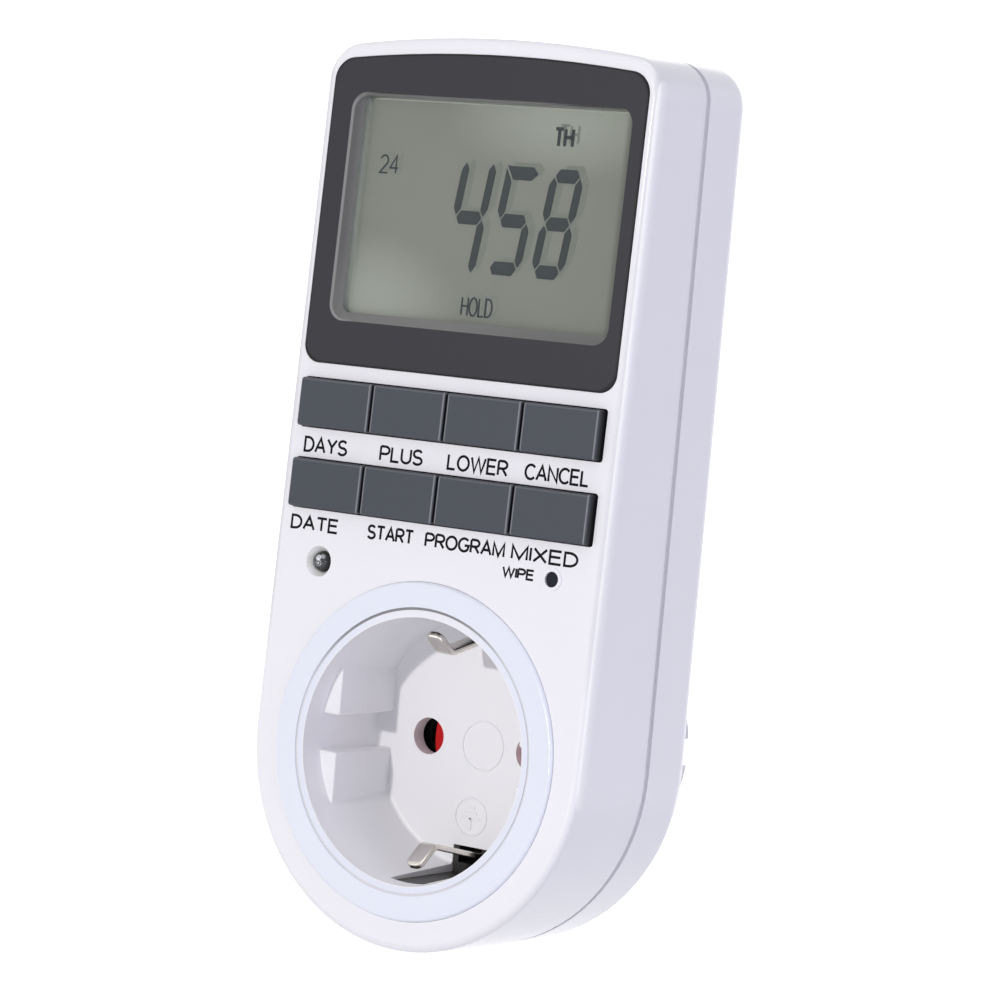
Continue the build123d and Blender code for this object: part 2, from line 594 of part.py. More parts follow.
# ------------------------------------------------------------------ boards
def display_board():
    low, high = DISPLAY_BOARD_Z
    deep = DISPLAY_BOARD_DEPTH + BOARD_T
    board = on_face(rect(-DISPLAY_BOARD_HALF, DISPLAY_BOARD_HALF, low, high, 1.5), deep,
                    DISPLAY_BOARD_DEPTH)
    for at in DISPLAY_SCREWS:
        board -= face_rod(1.1, deep, DISPLAY_BOARD_DEPTH, at)
    for way in (-1, 1):
        board -= face_rod(0.4, deep, DISPLAY_BOARD_DEPTH, (LAMP_AT[0] + way * 1.27, LAMP_AT[1]))
    return board


def controller_chip():
    """Flat square package with a row of legs on each side."""
    deep = DISPLAY_BOARD_DEPTH + BOARD_T
    chip = on_face(rect(-5, 5, 68, 78, 0.3), deep + 1.6, deep + 0.1)
    legs = [(-4.2 + 1.2 * i) for i in range(8)]
    for step in legs:
        chip += on_face(rect(step - 0.2, step + 0.2, 66.8, 79.2), deep + 0.5, deep)
        chip += on_face(rect(-6.2, 6.2, 73 + step - 0.2, 73 + step + 0.2), deep + 0.5, deep)
    return chip


def backup_battery():
    """Coin cell in its welded tabs."""
    deep = DISPLAY_BOARD_DEPTH + BOARD_T
    cell = face_rod(6.2, deep + 3.7, deep + 0.3, (14.5, 80.0))
    cell += on_face(rect(13.0, 16.0, 72.0, 88.0), deep + 0.3, deep)
    return cell


def clock_crystal():
    deep = DISPLAY_BOARD_DEPTH + BOARD_T
    can = Plane(FACE.offset(-deep - 1.1).location * Pos(-12, 70, 0)).location * Rot(-90, 0, 0) * Cylinder(
        1.05, 6.0, align=(Align.CENTER, Align.CENTER, Align.MIN))
    return can


def power_board():
    low, high = POWER_BOARD_Z
    board = slab(rect(-POWER_BOARD_HALF, POWER_BOARD_HALF, low, high, 1.5), POWER_BOARD_Y,
                 POWER_BOARD_Y - BOARD_T)
    for x, z in POWER_SCREWS:
        board -= rod(1.1, POWER_BOARD_Y, POWER_BOARD_Y - BOARD_T, x, z)
    return board


BOARD_FACE_Y = POWER_BOARD_Y - BOARD_T


def upright_can(radius, z_low, z_high, x, y):
    """Round bar along Z."""
    return Pos(x, y, z_low) * Cylinder(radius, z_high - z_low, align=(Align.CENTER, Align.CENTER, Align.MIN))


def relay():
    body = slab(rect(-24.5, -5.0, 38.0, 53.4, 0.5), BOARD_FACE_Y - 0.3, BOARD_FACE_Y - 10.0)
    body = fillet(edges_on(body, upright(BOARD_FACE_Y - 10.0)), 0.6)
    for x, z in ((-23, 40), (-23, 51.4), (-7, 40), (-7, 51.4)):
        body += rod(0.5, BOARD_FACE_Y, BOARD_FACE_Y - 0.4, x, z)
    return body


def dropper_capacitor():
    body = slab(rect(0.5, 18.5, 38.0, 46.5, 0.6), BOARD_FACE_Y, BOARD_FACE_Y - 9.4)
    return fillet(edges_on(body, upright(BOARD_FACE_Y - 9.4)), 0.8)


def filter_capacitor():
    """Round can lying on the board, with the crimp groove near its foot."""
    centre_y = BOARD_FACE_Y - 4.1
    can = upright_can(4.0, 56.0, 67.0, 6.0, centre_y)
    crimp = upright_can(4.5, 57.2, 58.0, 6.0, centre_y) - upright_can(3.7, 57.2, 58.0, 6.0, centre_y)
    return can - crimp


def rectifier_diodes():
    group = Part()
    for x in (-23.0, -19.0, -15.0, -11.0):
        group += upright_can(1.3, 57.0, 62.0, x, BOARD_FACE_Y - 1.4)
    return group


def board_resistors():
    group = Part()
    for x in (-22.0, -17.0, -12.0):
        group += upright_can(1.2, 66.0, 72.5, x, BOARD_FACE_Y - 1.3)
    return group


def varistor():
    disc = Pos(20.4, BOARD_FACE_Y - 4.6, 56.0) * Rot(0, 90, 0) * Cylinder(
        4.2, 3.4, align=(Align.CENTER, Align.CENTER, Align.MIN))
    return chamfer(disc.edges(), 0.7) + slab(rect(21.4, 22.8, 54.5, 57.5), BOARD_FACE_Y, BOARD_FACE_Y - 1.0)


def board_header():
    """Row of pins in a plastic bar between the two boards."""
    bar = slab(rect(-6.4, 6.4, 88.0, 90.5), BOARD_FACE_Y, BOARD_FACE_Y - 2.5)
    for i in range(5):
        x = (i - 2) * 2.54
        bar += slab(rect(x - 0.32, x + 0.32, 88.9, 89.55), BOARD_FACE_Y - 2.5, -32.4)
    return bar


# ------------------------------------------------------------------ screws
def case_screws():
    group = Part()
    for x, z in CASE_SCREWS:
        head = rod(CASE_HEAD_R, CASE_HEAD_SEAT_Y + 1.6, CASE_HEAD_SEAT_Y, x, z)
        head -= slab(Pos(x, z) * (Rectangle(3.0, 0.7) + Rectangle(0.7, 3.0)),
                     CASE_HEAD_SEAT_Y + 1.6, CASE_HEAD_SEAT_Y + 0.7)
        group += head + rod(CASE_SCREW_R, CASE_HEAD_SEAT_Y, -39.0, x, z)
    return group


def display_board_screws():
    group = Part()
    deep = DISPLAY_BOARD_DEPTH + BOARD_T
    for at in DISPLAY_SCREWS:
        group += face_rod(1.9, deep + 1.1, deep, at) + face_rod(0.9, deep, 4.0, at)
    return group


def power_board_screws():
    group = Part()
    for x, z in POWER_SCREWS:
        group += rod(1.9, BOARD_FACE_Y, BOARD_FACE_Y - 1.1, x, z) + rod(0.9, -19.4, BOARD_FACE_Y, x, z)
    return group


def carrier_screws():
    group = Part()
    for side in (-1, 1):
        x, z = side * CARRIER_SCREW_AT, -side * CARRIER_SCREW_AT
        group += rod(2.0, RING_Y[1] + 0.8, RING_Y[1], x, z) + rod(1.0, RING_Y[1], FLOOR_BACK_Y - 1.2, x, z)
    return group


# ------------------------------------------------------------------ assembly
def all_nodes():
    nodes = {
        "front_shell": front_shell(),
        "rear_shell": rear_shell(),
        "case_screws": case_screws(),
        "socket_well": socket_well(),
        "socket_trim_ring": socket_trim_ring(),
        "earth_clip_upper": earth_clip(1),
        "earth_clip_lower": earth_clip(-1),
        "earth_link_ring": earth_link_ring(),
        "plug_earth_strip_left": plug_earth_strip(-1),
        "plug_earth_strip_right": plug_earth_strip(1),
        "safety_shutter": safety_shutter(),
        "shutter_spring": shutter_spring(),
        "contact_carrier": contact_carrier(),
        "carrier_screws": carrier_screws(),
        "live_socket_contact": socket_contact(-HOLE_X),
        "neutral_socket_contact": socket_contact(HOLE_X),
        "live_out_strap": board_strap(-HOLE_X, -9.85 + CONTACT_T / 2),
        "neutral_feed_strap": board_strap(HOLE_X, NEUTRAL_LINK_Y + SHEET_T + CONTACT_T / 2),
        "live_in_strap": live_in_strap(),
        "neutral_link": neutral_link(),
        "live_pin": plug_pin(PIN_Z, -BOSS_END - PIN_FLANGE - SHEET_T),
        "neutral_pin": plug_pin(-PIN_Z, NEUTRAL_LINK_Y),
        "key_mat": key_mat(),
        "reset_button": reset_button(),
        "reset_switch": reset_switch(),
        "led_lamp": led_lamp(),
        "display_bezel": display_bezel(),
        "display_window": display_window(),
        "lcd_panel": lcd_panel(),
        "lcd_holder": lcd_holder(),
        "lcd_connector": lcd_connector(),
        "display_board": display_board(),
        "display_board_screws": display_board_screws(),
        "controller_chip": controller_chip(),
        "backup_battery": backup_battery(),
        "clock_crystal": clock_crystal(),
        "board_header": board_header(),
        "power_board": power_board(),
        "power_board_screws": power_board_screws(),
        "relay": relay(),
        "dropper_capacitor": dropper_capacitor(),
        "filter_capacitor": filter_capacitor(),
        "rectifier_diodes": rectifier_diodes(),
        "board_resistors": board_resistors(),
        "varistor": varistor(),
    }
    for row, names in enumerate(KEY_NAMES):
        for column, name in enumerate(names):
            nodes[name] = key(row, column)
    return nodes


os.makedirs("parts", exist_ok=True)
for node, solid in all_nodes().items():
    export_step(solid, f"parts/{node}.step")
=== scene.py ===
"""Looks for a plug in timer switch: finishes, printed words, display segments, lamp and light.

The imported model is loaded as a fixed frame. Places on the front are given as the CAD gives
them: x to the right, `up` along the leaning face from the socket's axis, and `out` from the
face towards the user, all in millimetres. Everything in the blend file is in metres.
"""
import math

import bpy
import numpy as np
from bpy.props import FloatProperty, FloatVectorProperty, PointerProperty
from mathutils import Matrix, Vector


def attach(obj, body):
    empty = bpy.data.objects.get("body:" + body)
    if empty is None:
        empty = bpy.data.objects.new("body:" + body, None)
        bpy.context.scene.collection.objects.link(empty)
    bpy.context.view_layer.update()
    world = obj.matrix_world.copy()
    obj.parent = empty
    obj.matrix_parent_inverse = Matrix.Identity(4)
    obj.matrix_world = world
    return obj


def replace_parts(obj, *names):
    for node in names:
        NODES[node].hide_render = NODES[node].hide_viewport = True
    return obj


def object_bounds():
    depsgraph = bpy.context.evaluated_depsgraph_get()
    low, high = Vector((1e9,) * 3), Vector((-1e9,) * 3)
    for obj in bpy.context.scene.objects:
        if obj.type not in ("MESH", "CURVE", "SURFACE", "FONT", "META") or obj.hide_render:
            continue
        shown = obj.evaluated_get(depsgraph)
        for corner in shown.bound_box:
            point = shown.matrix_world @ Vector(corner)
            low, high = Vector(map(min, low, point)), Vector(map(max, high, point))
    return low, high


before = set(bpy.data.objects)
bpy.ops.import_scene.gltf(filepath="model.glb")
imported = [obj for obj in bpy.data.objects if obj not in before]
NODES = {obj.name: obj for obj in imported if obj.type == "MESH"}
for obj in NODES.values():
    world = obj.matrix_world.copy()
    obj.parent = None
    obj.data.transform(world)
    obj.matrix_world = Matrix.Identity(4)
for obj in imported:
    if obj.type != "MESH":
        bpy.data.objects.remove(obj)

bl_info = {
    "name": "Plug in timer switch",
    "version": (1, 0, 0),
    "blender": (4, 5, 0),
    "location": "3D View > Sidebar > Timer switch",
    "description": "Finishes, lettering and light for the packed timer switch",
    "category": "Object",
}

MM = 0.001
CAD_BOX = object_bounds()
LEAN = math.radians(2.68)          # lean of the front face
FACE_Y = -47.5                     # the face at the socket's axis; from here on in millimetres
FLOOR_Y = -30.0                    # the socket's floor
JOINT_Y = -29.95                   # middle of the groove between the shells
BACK_Y = -18.0                     # the housing's back, where the plug starts
SIDE_X = 30.0                      # half the housing's width
LAMP_AT = (-21.0, 25.7)            # x and up of the lamp
LAMP_DEPTH = 1.0                   # of the middle of the lamp's dome
OPENING = ((0.85, 79.15), (22.45, 14.55), 2.6)   # window: middle, half to corner centres, corner
SURROUND = ((0.0, 79.1), (24.6, 20.2), 3.5)      # display surround, the same
ARCH_R = 240.0                     # radius of the surround's upper edge
DIGIT_FOOT = 70.95                 # height of the digits' lower ends
SEGMENTS = (-2.45, 0.03)           # out and thickness of the display segments
SHADOWS = (-2.49, 0.02)            # and of their shadows
KEY_HALF = (6.6, 3.65)             # half a key cap's width and height
KEY_PITCH = 13.55                  # from one cap to the next in a row
KEY_ROWS = (37.2, 49.35)           # middle heights of the key rows
KEY_LEFT = -27.1                   # left end of the rows, half a gap out


def srgb(red, green, blue):
    """Linear colour of an 8-bit display colour: ((c + 0.055) / 1.055) ** 2.4 above the toe."""
    share = np.array((red, green, blue)) / 255
    curve = ((share + 0.055) / 1.055) ** 2.4
    return tuple(np.where(share <= 0.04045, share / 12.92, curve).tolist())


# ------------------------------------------------------------------ values a user may change
def length(label, note, value):
    """A length property; the value is in millimetres."""
    return FloatProperty(
        name=label, description=note, default=value * MM, unit="LENGTH", precision=5)


def colour(label, note, *value):
    """A colour property; the value is an 8-bit display colour."""
    return FloatVectorProperty(
        name=label, description=note, default=srgb(*value), size=3, subtype="COLOR", min=0, max=1)


def power(label, note, value):
    """A lamp's power in watts."""
    return FloatProperty(name=label, description=note, default=value, min=0, unit="POWER")


class TimerSizes(bpy.types.PropertyGroup):
    digit_height: length("Digit height", "Height of a display digit", 16.1)
    digit_bar: length("Bar thickness", "Thickness of a digit's level bars", 2.0)
    digit_post: length("Post width", "Width of a digit's upright bars", 1.3)
    digit_slant: FloatProperty(
        name="Digit slant", description="Lean of the digits to the right",
        default=math.radians(7.1), subtype="ANGLE")
    ghost_shift: length("Ghost shift", "Shift of the digits' shadow on the back film", 1.1)
    ink: length("Ink thickness", "Thickness of the printed words", 0.02)
    stroke: length("Stroke width", "Width of the strokes of the printed words", 0.38)
    clip_edge: length("Clip edge", "Radius of the earth clips' rolled edges", 0.3)
    mark_line: length("Mark line", "Width of the raised lines on the socket's floor", 0.4)


class TimerColours(bpy.types.PropertyGroup):
    shell: colour("Shell", "Front and rear shells", 240, 239, 244)
    insert: colour("Insert", "Moulded socket well", 241, 240, 243)
    trim: colour("Trim", "Ring round the socket", 231, 234, 246)
    bezel: colour("Bezel", "Display surround", 48, 47, 53)
    slope: colour("Slope", "Slope from the surround down to the display", 96, 96, 95)
    keys: colour("Keys", "Eight key caps", 64, 68, 76)
    glass: colour("Display", "Background of the display", 131, 134, 126)
    segment: colour("Segments", "Dark display segments", 56, 61, 64)
    ghost: colour("Ghost", "Shadow behind the display segments", 117, 121, 113)
    ink: colour("Ink", "Printed words", 14, 14, 20)
    shutter: colour("Shutter", "Safety shutter behind the pin holes", 198, 12, 14)
    nickel: colour("Nickel", "Plated strips and pins", 226, 221, 213)


class TimerLight(bpy.types.PropertyGroup):
    key: power("Key lamp", "Power of the main lamp", 2.38)
    side: power("Side lamp", "Power of the lamp on the right", 0.52)
    rear: power("Rear lamp", "Power of the lamp behind on the right", 0.2)
    top: power("Top lamp", "Power of the lamp overhead", 1.8)
    room: FloatProperty(
        name="Room light", description="Strength of the even light", default=0.44, min=0)
    room_tint: colour("Room tint", "Colour of the even light", 246, 246, 254)
    floor_gap: length("Floor gap", "Height of the switch above the floor", 22.0)


# ------------------------------------------------------------------ shader building
def operators(operation):
    """An operator on a Value and its reflected form."""
    def plain(self, other):
        return self.maths(operation, self, other)

    def reflected(self, other):
        return self.maths(operation, other, self)

    return plain, reflected


class Value:
    """A shader socket that takes part in arithmetic: each operation adds one Math node."""

    __add__, __radd__ = operators("ADD")
    __sub__, __rsub__ = operators("SUBTRACT")
    __mul__, __rmul__ = operators("MULTIPLY")
    __truediv__, __rtruediv__ = operators("DIVIDE")
    __pow__, __rpow__ = operators("POWER")

    def __init__(self, shader, socket):
        self.shader = shader
        self.socket = socket

    def maths(self, operation, *terms):
        """One Math node."""
        return self.shader.node("ShaderNodeMath", {"operation": operation}, dict(enumerate(terms)))

    def __abs__(self):
        return self.maths("ABSOLUTE", self)

    def most(self, other):
        return self.maths("MAXIMUM", self, other)

    def least(self, other):
        return self.maths("MINIMUM", self, other)

    def fraction(self):
        return self.maths("FRACT", self)

    def root(self):
        return self.maths("SQRT", self)

    def ramp(self, low, high):
        """0 below low and 1 above high, with a smooth change between; low may be the larger."""
        return self.shader.node(
            "ShaderNodeMapRange", {"interpolation_type": "SMOOTHSTEP"},
            {"Value": self, "From Min": low, "From Max": high})


def span(*parts):
    """Length of a vector: the root of the sum of its parts' squares."""
    total = parts[0] * parts[0]
    for part in parts[1:]:
        total = total + part * part
    return total.root()


def round_box(across, along, corner):
    """Distance to a box with round corners, less than 0 inside: with q the place measured from
    the corners' centres, |max(q, 0)| + min(max(q), 0) - corner."""
    return span(across.most(0.0), along.most(0.0)) + across.most(along).least(0.0) - corner


class Shader:
    """The node tree of a material or of the world, under construction."""

    def __init__(self, owner):
        owner.use_nodes = True
        self.tree = owner.node_tree
        self.tree.nodes.clear()

    def node(self, kind, settings=None, inputs=None, output=0):
        """Adds a node: first its settings, then the values or links of its sockets."""
        made = self.tree.nodes.new(kind)
        for name, value in (settings or {}).items():
            setattr(made, name, value)
        for name, value in (inputs or {}).items():
            socket = made.inputs[name]
            if isinstance(value, Value):
                self.tree.links.new(value.socket, socket)
            elif socket.type == "RGBA":
                socket.default_value = (*value[:3], 1)
            else:
                socket.default_value = value
        return Value(self, made.outputs[output]) if made.outputs else None

    def outputs(self, kind, inputs=None):
        """Adds a node and gives all its outputs by name."""
        made = self.node(kind, inputs=inputs).socket.node
        return {socket.name: Value(self, socket) for socket in made.outputs}

    def seen(self):
        """1 for rays from the camera, and for those that a mirror or clear piece sends on."""
        rays = self.outputs("ShaderNodeLightPath")
        return rays["Is Camera Ray"].most(rays["Is Glossy Ray"]).most(rays["Is Transmission Ray"])


class Finish(Shader):
    """A material under construction on Object coordinates."""

    def __init__(self, name):
        self.material = bpy.data.materials.new(name)
        super().__init__(self.material)
        self.place = self.node("ShaderNodeTexCoord", output="Object")

    def axes(self):
        """x, y and z of the place, in metres."""
        return list(self.outputs("ShaderNodeSeparateXYZ", {0: self.place}).values())

    def face_axes(self):
        """x, up and out of the place on the leaning face, in millimetres."""
        x, y, z = self.axes()
        ahead = y - FACE_Y * MM
        up = z * math.cos(LEAN) + ahead * math.sin(LEAN)
        out = z * math.sin(LEAN) - ahead * math.cos(LEAN)
        return x / MM, up / MM, out / MM

    def noise(self, size, detail=2.0, roughness=0.5):
        """Noise from 0 to 1 whose patches are about size millimetres."""
        return self.node("ShaderNodeTexNoise", None, {
            "Vector": self.place, "Scale": 1 / (size * MM), "Detail": detail,
            "Roughness": roughness})

    def mix(self, share, low, high):
        """Colour low where share is 0, high where it is 1."""
        return self.node("ShaderNodeMix", {"data_type": "RGBA"}, {0: share, 6: low, 7: high}, 2)

    def clouded(self, share, shade, low, high):
        """A colour low times as bright where share is 0, and high times where it is 1."""
        return self.mix(share, scaled(shade, low), scaled(shade, high))

    def shaded(self, base, shade, *places):
        """Lays a brighter or darker shade over a base at each place: its mask and its factor."""
        for mask, factor in places:
            base = self.mix(mask, base, scaled(shade, factor))
        return base

    def relief(self, height, depth):
        """Bump normal of a height field from 0 to 1 that is depth millimetres deep."""
        return self.node("ShaderNodeBump", None, {
            "Height": height, "Distance": depth * MM, "Strength": 1.0})

    def surface(self, **inputs):
        """Principled shader with the given inputs, its names written with _ for spaces."""
        named = {name.replace("_", " "): value for name, value in inputs.items()}
        return self.node("ShaderNodeBsdfPrincipled", None, named)

    def done(self, shader):
        """Links the finished shader to the material, and gives the material."""
        self.node("ShaderNodeOutputMaterial", inputs={0: shader})
        return self.material


def scaled(shade, factor):
    """A colour made brighter or darker, up to white."""
    return tuple(min(1.0, part * factor) for part in shade)


def moulded(name, shade, gloss=0.4, grain=0.12, depth=0.004, cloud=0.03, **constants):
    """Moulded plastic: faint clouds in the pigment, fine spark-eroded grain and varied gloss. The
    gloss is its mean roughness, grain and depth the size and depth of the grain in millimetres."""
    finish = Finish(name)
    clouds = finish.noise(14.0, 3.0)
    fine = finish.noise(grain, 3.0, 0.6)
    base = finish.clouded(clouds, shade, 1 - cloud, 1 + cloud / 2)
    rough = gloss + (fine - 0.5) * 0.10 + (clouds - 0.5) * 0.06
    return finish.done(finish.surface(
        Base_Color=base, Roughness=rough, Normal=finish.relief(fine, depth), **constants))


def plated(name, shade, gloss, drawn=(0.05, 2.5, 0.05)):
    """Bright plated metal: fine marks drawn out along one axis, and cloudy tarnish."""
    finish = Finish(name)
    stretched = finish.node("ShaderNodeMapping", None, {
        "Vector": finish.place, "Scale": tuple(1 / (size * MM) for size in drawn)})
    marks = finish.node("ShaderNodeTexNoise", None, {
        "Vector": stretched, "Scale": 1.0, "Detail": 3.0, "Roughness": 0.6})
    haze = finish.noise(1.6, 3.0)
    base = finish.clouded(haze, shade, 0.86, 1.05)
    rough = gloss + (marks - 0.5) * 0.12 + (haze - 0.5) * 0.10
    return finish.done(finish.surface(
        Base_Color=base, Roughness=rough, Metallic=1.0, Normal=finish.relief(marks, 0.003)))


def clear(name, tint, haze, share):
    """Clear plastic: see-through, with a reflection that grows at low angles. The share is how
    much of that reflection it has, and the haze the size of its patches of varied gloss."""
    finish = Finish(name)
    cloud = finish.noise(haze, 2.0)
    sheen = finish.node("ShaderNodeFresnel", None, {"IOR": 1.47})
    through = finish.node("ShaderNodeBsdfTransparent", None, {"Color": tint})
    gloss = finish.node("ShaderNodeBsdfGlossy", None, {
        "Color": (1, 1, 1), "Roughness": 0.04 + cloud * 0.04})
    return finish.done(finish.node("ShaderNodeMixShader", None, {
        0: sheen * share, 1: through, 2: gloss}))


def wear(material, *nodes):
    """Gives CAD nodes a finish."""
    for node in nodes:
        mesh = NODES[node].data
        mesh.materials.clear()
        mesh.materials.append(material)


# ------------------------------------------------------------------ shapes
def on_face(x, up, out):
    """Points of the leaning face in metres: x stays, y = FACE_Y + up sin - out cos and
    z = up cos + out sin of the lean."""
    x, up, out = np.broadcast_arrays(x, up, out)
    y = FACE_Y + up * math.sin(LEAN) - out * math.cos(LEAN)
    z = up * math.cos(LEAN) + out * math.sin(LEAN)
    return np.stack((x, y, z), axis=-1) * MM


def full_turn(steps):
    """Angles of a closed ring."""
    return np.linspace(0, 2 * math.pi, steps, endpoint=False)


def inwards(faces):
    """The same faces turned over."""
    return [face[::-1] for face in faces]


def on_wall(x, z, y):
    """Points square to the wall plane, in metres."""
    x, z, y = np.broadcast_arrays(x, z, y)
    return np.stack((x, y, z), axis=-1) * MM


def put(name, corners, faces, material, slot, smooth=None):
    """Makes a mesh piece that rides on the housing; smooth is the sharpest angle shaded as
    round."""
    mesh = bpy.data.meshes.new(name)
    mesh.from_pydata(corners.reshape(-1, 3).tolist(), [], faces)
    mesh.validate()
    mesh.materials.append(material)
    piece = bpy.data.objects.new(name, mesh)
    bpy.context.scene.collection.objects.link(piece)
    if smooth:
        mesh.shade_smooth()
        mesh.set_sharp_from_angle(angle=math.radians(smooth))
    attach(piece, "housing")
    return piece


def ring_faces(count, levels, around, closed=False):
    """Faces of stacks of rings held as [stack, level, corner]: quads between each level and the
    next, and a cap at both ends, or a join of the last level to the first if closed."""
    start = np.arange(count)[:, None, None] * levels * around
    steps = levels if closed else levels - 1
    low = np.arange(steps)[None, :, None] * around
    high = (np.arange(1, steps + 1) % levels)[None, :, None] * around
    here = np.arange(around)[None, None, :]
    after = (here + 1) % around
    quads = np.stack([start + low + here, start + low + after, start + high + after,
                      start + high + here], axis=-1)
    faces = quads.reshape(-1, 4).tolist()
    if not closed:
        caps = start[:, 0] + np.arange(around)[None]
        faces += caps[:, ::-1].tolist() + (caps + (levels - 1) * around).tolist()
    return faces


QUARTERS = np.array([(1, 1), (-1, 1), (-1, -1), (1, -1)], float)


def box_outline(half, corner, steps):
    """Outline of a rectangle with round corners, anticlockwise: each point is a corner's centre
    plus the corner radius times (cos t, sin t), t turning a quarter at each corner."""
    turn = np.linspace(0, math.pi / 2, steps)
    angles = (np.arange(4)[:, None] * math.pi / 2 + turn[None]).reshape(-1)
    middle = np.repeat(QUARTERS, steps, axis=0) * (np.array(half) - corner)
    return middle + corner * np.stack((np.cos(angles), np.sin(angles)), axis=-1)


def bent_path(corners, radius, steps):
    """Flat path with round bends: between two straight runs the points are
    c + r (cos t, sin t) about the bend's centre c, with t from one tangent point to the other."""
    corners = np.array(corners, float)
    back = corners[:-2] - corners[1:-1]
    ahead = corners[2:] - corners[1:-1]
    back /= np.linalg.norm(back, axis=1)[:, None]
    ahead /= np.linalg.norm(ahead, axis=1)[:, None]
    half = np.arccos(np.clip((back * ahead).sum(1), -1, 1)) / 2
    middle = (back + ahead) / np.linalg.norm(back + ahead, axis=1)[:, None]
    centre = corners[1:-1] + middle * (radius / np.sin(half))[:, None]
    share = np.linspace(-1, 1, steps)[None, :, None]
    sweep = (math.pi / 2 - half)[:, None, None] * share
    side = np.stack((-middle[:, 1], middle[:, 0]), axis=-1)
    side *= np.sign((side * ahead).sum(1))[:, None]
    bends = centre[:, None] + radius * (
        -np.cos(sweep) * middle[:, None] + np.sin(sweep) * side[:, None])
    return np.concatenate((corners[:1], bends.reshape(-1, 2), corners[-1:]))


def flat_plates(outlines, out, thick):
    """Thin plates on the face, one for each outline of the same number of corners."""
    count, around, _ = outlines.shape
    levels = np.array((out, out + thick))[None, :, None]
    corners = on_face(outlines[:, None, :, 0], outlines[:, None, :, 1], levels)
    return corners, ring_faces(count, 2, around)


# ------------------------------------------------------------------ display
def digit_bars(number, left, width, sizes):
    """Outlines of the lit bars of a digit. A bar is a hexagon: two points on the line between
    two junctions, a nick short of them, and four shoulders half its thickness to the sides. The
    whole digit leans by u + v tan(slant). The 4 is taller, and the 5 has a cut upper left
    corner."""
    tall = sizes.digit_height / MM
    bar = sizes.digit_bar / MM / 2
    post = sizes.digit_post / MM / 2
    foot, waist, head = bar, tall / 2, tall - bar
    near, far = post, width - post
    nick, shoulder = 0.17, 0.62                        # of the level bars
    tip, inner_shoulder, outer_shoulder = 0.27, 1.2, 1.4   # of the upright bars

    def level_bar(v):
        low, high = near + nick, far - nick
        return [(low, v), (low + shoulder, v - bar), (high - shoulder, v - bar), (high, v),
                (high - shoulder, v + bar), (low + shoulder, v + bar)]

    def post_bar(u, low, high):
        inner = post if u == near else -post
        return [(u, low + tip),
                (u + inner, low + inner_shoulder), (u + inner, high - inner_shoulder),
                (u, high - tip),
                (u - inner, high - outer_shoulder), (u - inner, low + outer_shoulder)]

    bars = {
        "a": level_bar(head), "g": level_bar(waist), "d": level_bar(foot),
        "f": post_bar(near, waist, head), "b": post_bar(far, waist, head),
        "e": post_bar(near, foot, waist), "c": post_bar(far, foot, waist),
    }
    if number == 4:
        above, below = 0.35, 0.3                       # how far its posts go past the others
        bars["f"] = post_bar(near, waist, tall + above)
        bars["b"] = post_bar(far, waist, tall + above)
        bars["c"] = post_bar(far, -below, waist)
    if number == 5:
        bars["a"] = [(0.05, tall + 0.1), (1.5, tall - 2 * bar), bars["a"][2], (far + 0.2, head),
                     bars["a"][4], (0.7, tall)]
        bars["f"][2:5] = [(2 * post, tall - 2.35), (post, tall - 1.35), (0.0, tall - 0.35)]
    lit = {4: "bcfg", 5: "acdfg", 8: "abcdefg"}[number]
    corners = np.array([bars[name] for name in lit])
    u, v = corners[..., 0], corners[..., 1]
    area = (u * np.roll(v, -1, 1) - v * np.roll(u, -1, 1)).sum(1)
    corners = np.where(area[:, None, None] < 0, corners[:, ::-1], corners)
    u, v = corners[..., 0], corners[..., 1]
    return np.stack((left + u + (v - tall / 2) * math.tan(sizes.digit_slant), v), axis=-1)


def arc(x, y, across, along, start, end, steps=12):
    """Points of an elliptic arc, (x + across cos t, y + along sin t), with t in degrees."""
    turn = np.radians(np.linspace(start, end, steps))
    return list(zip(x + across * np.cos(turn), y + along * np.sin(turn)))


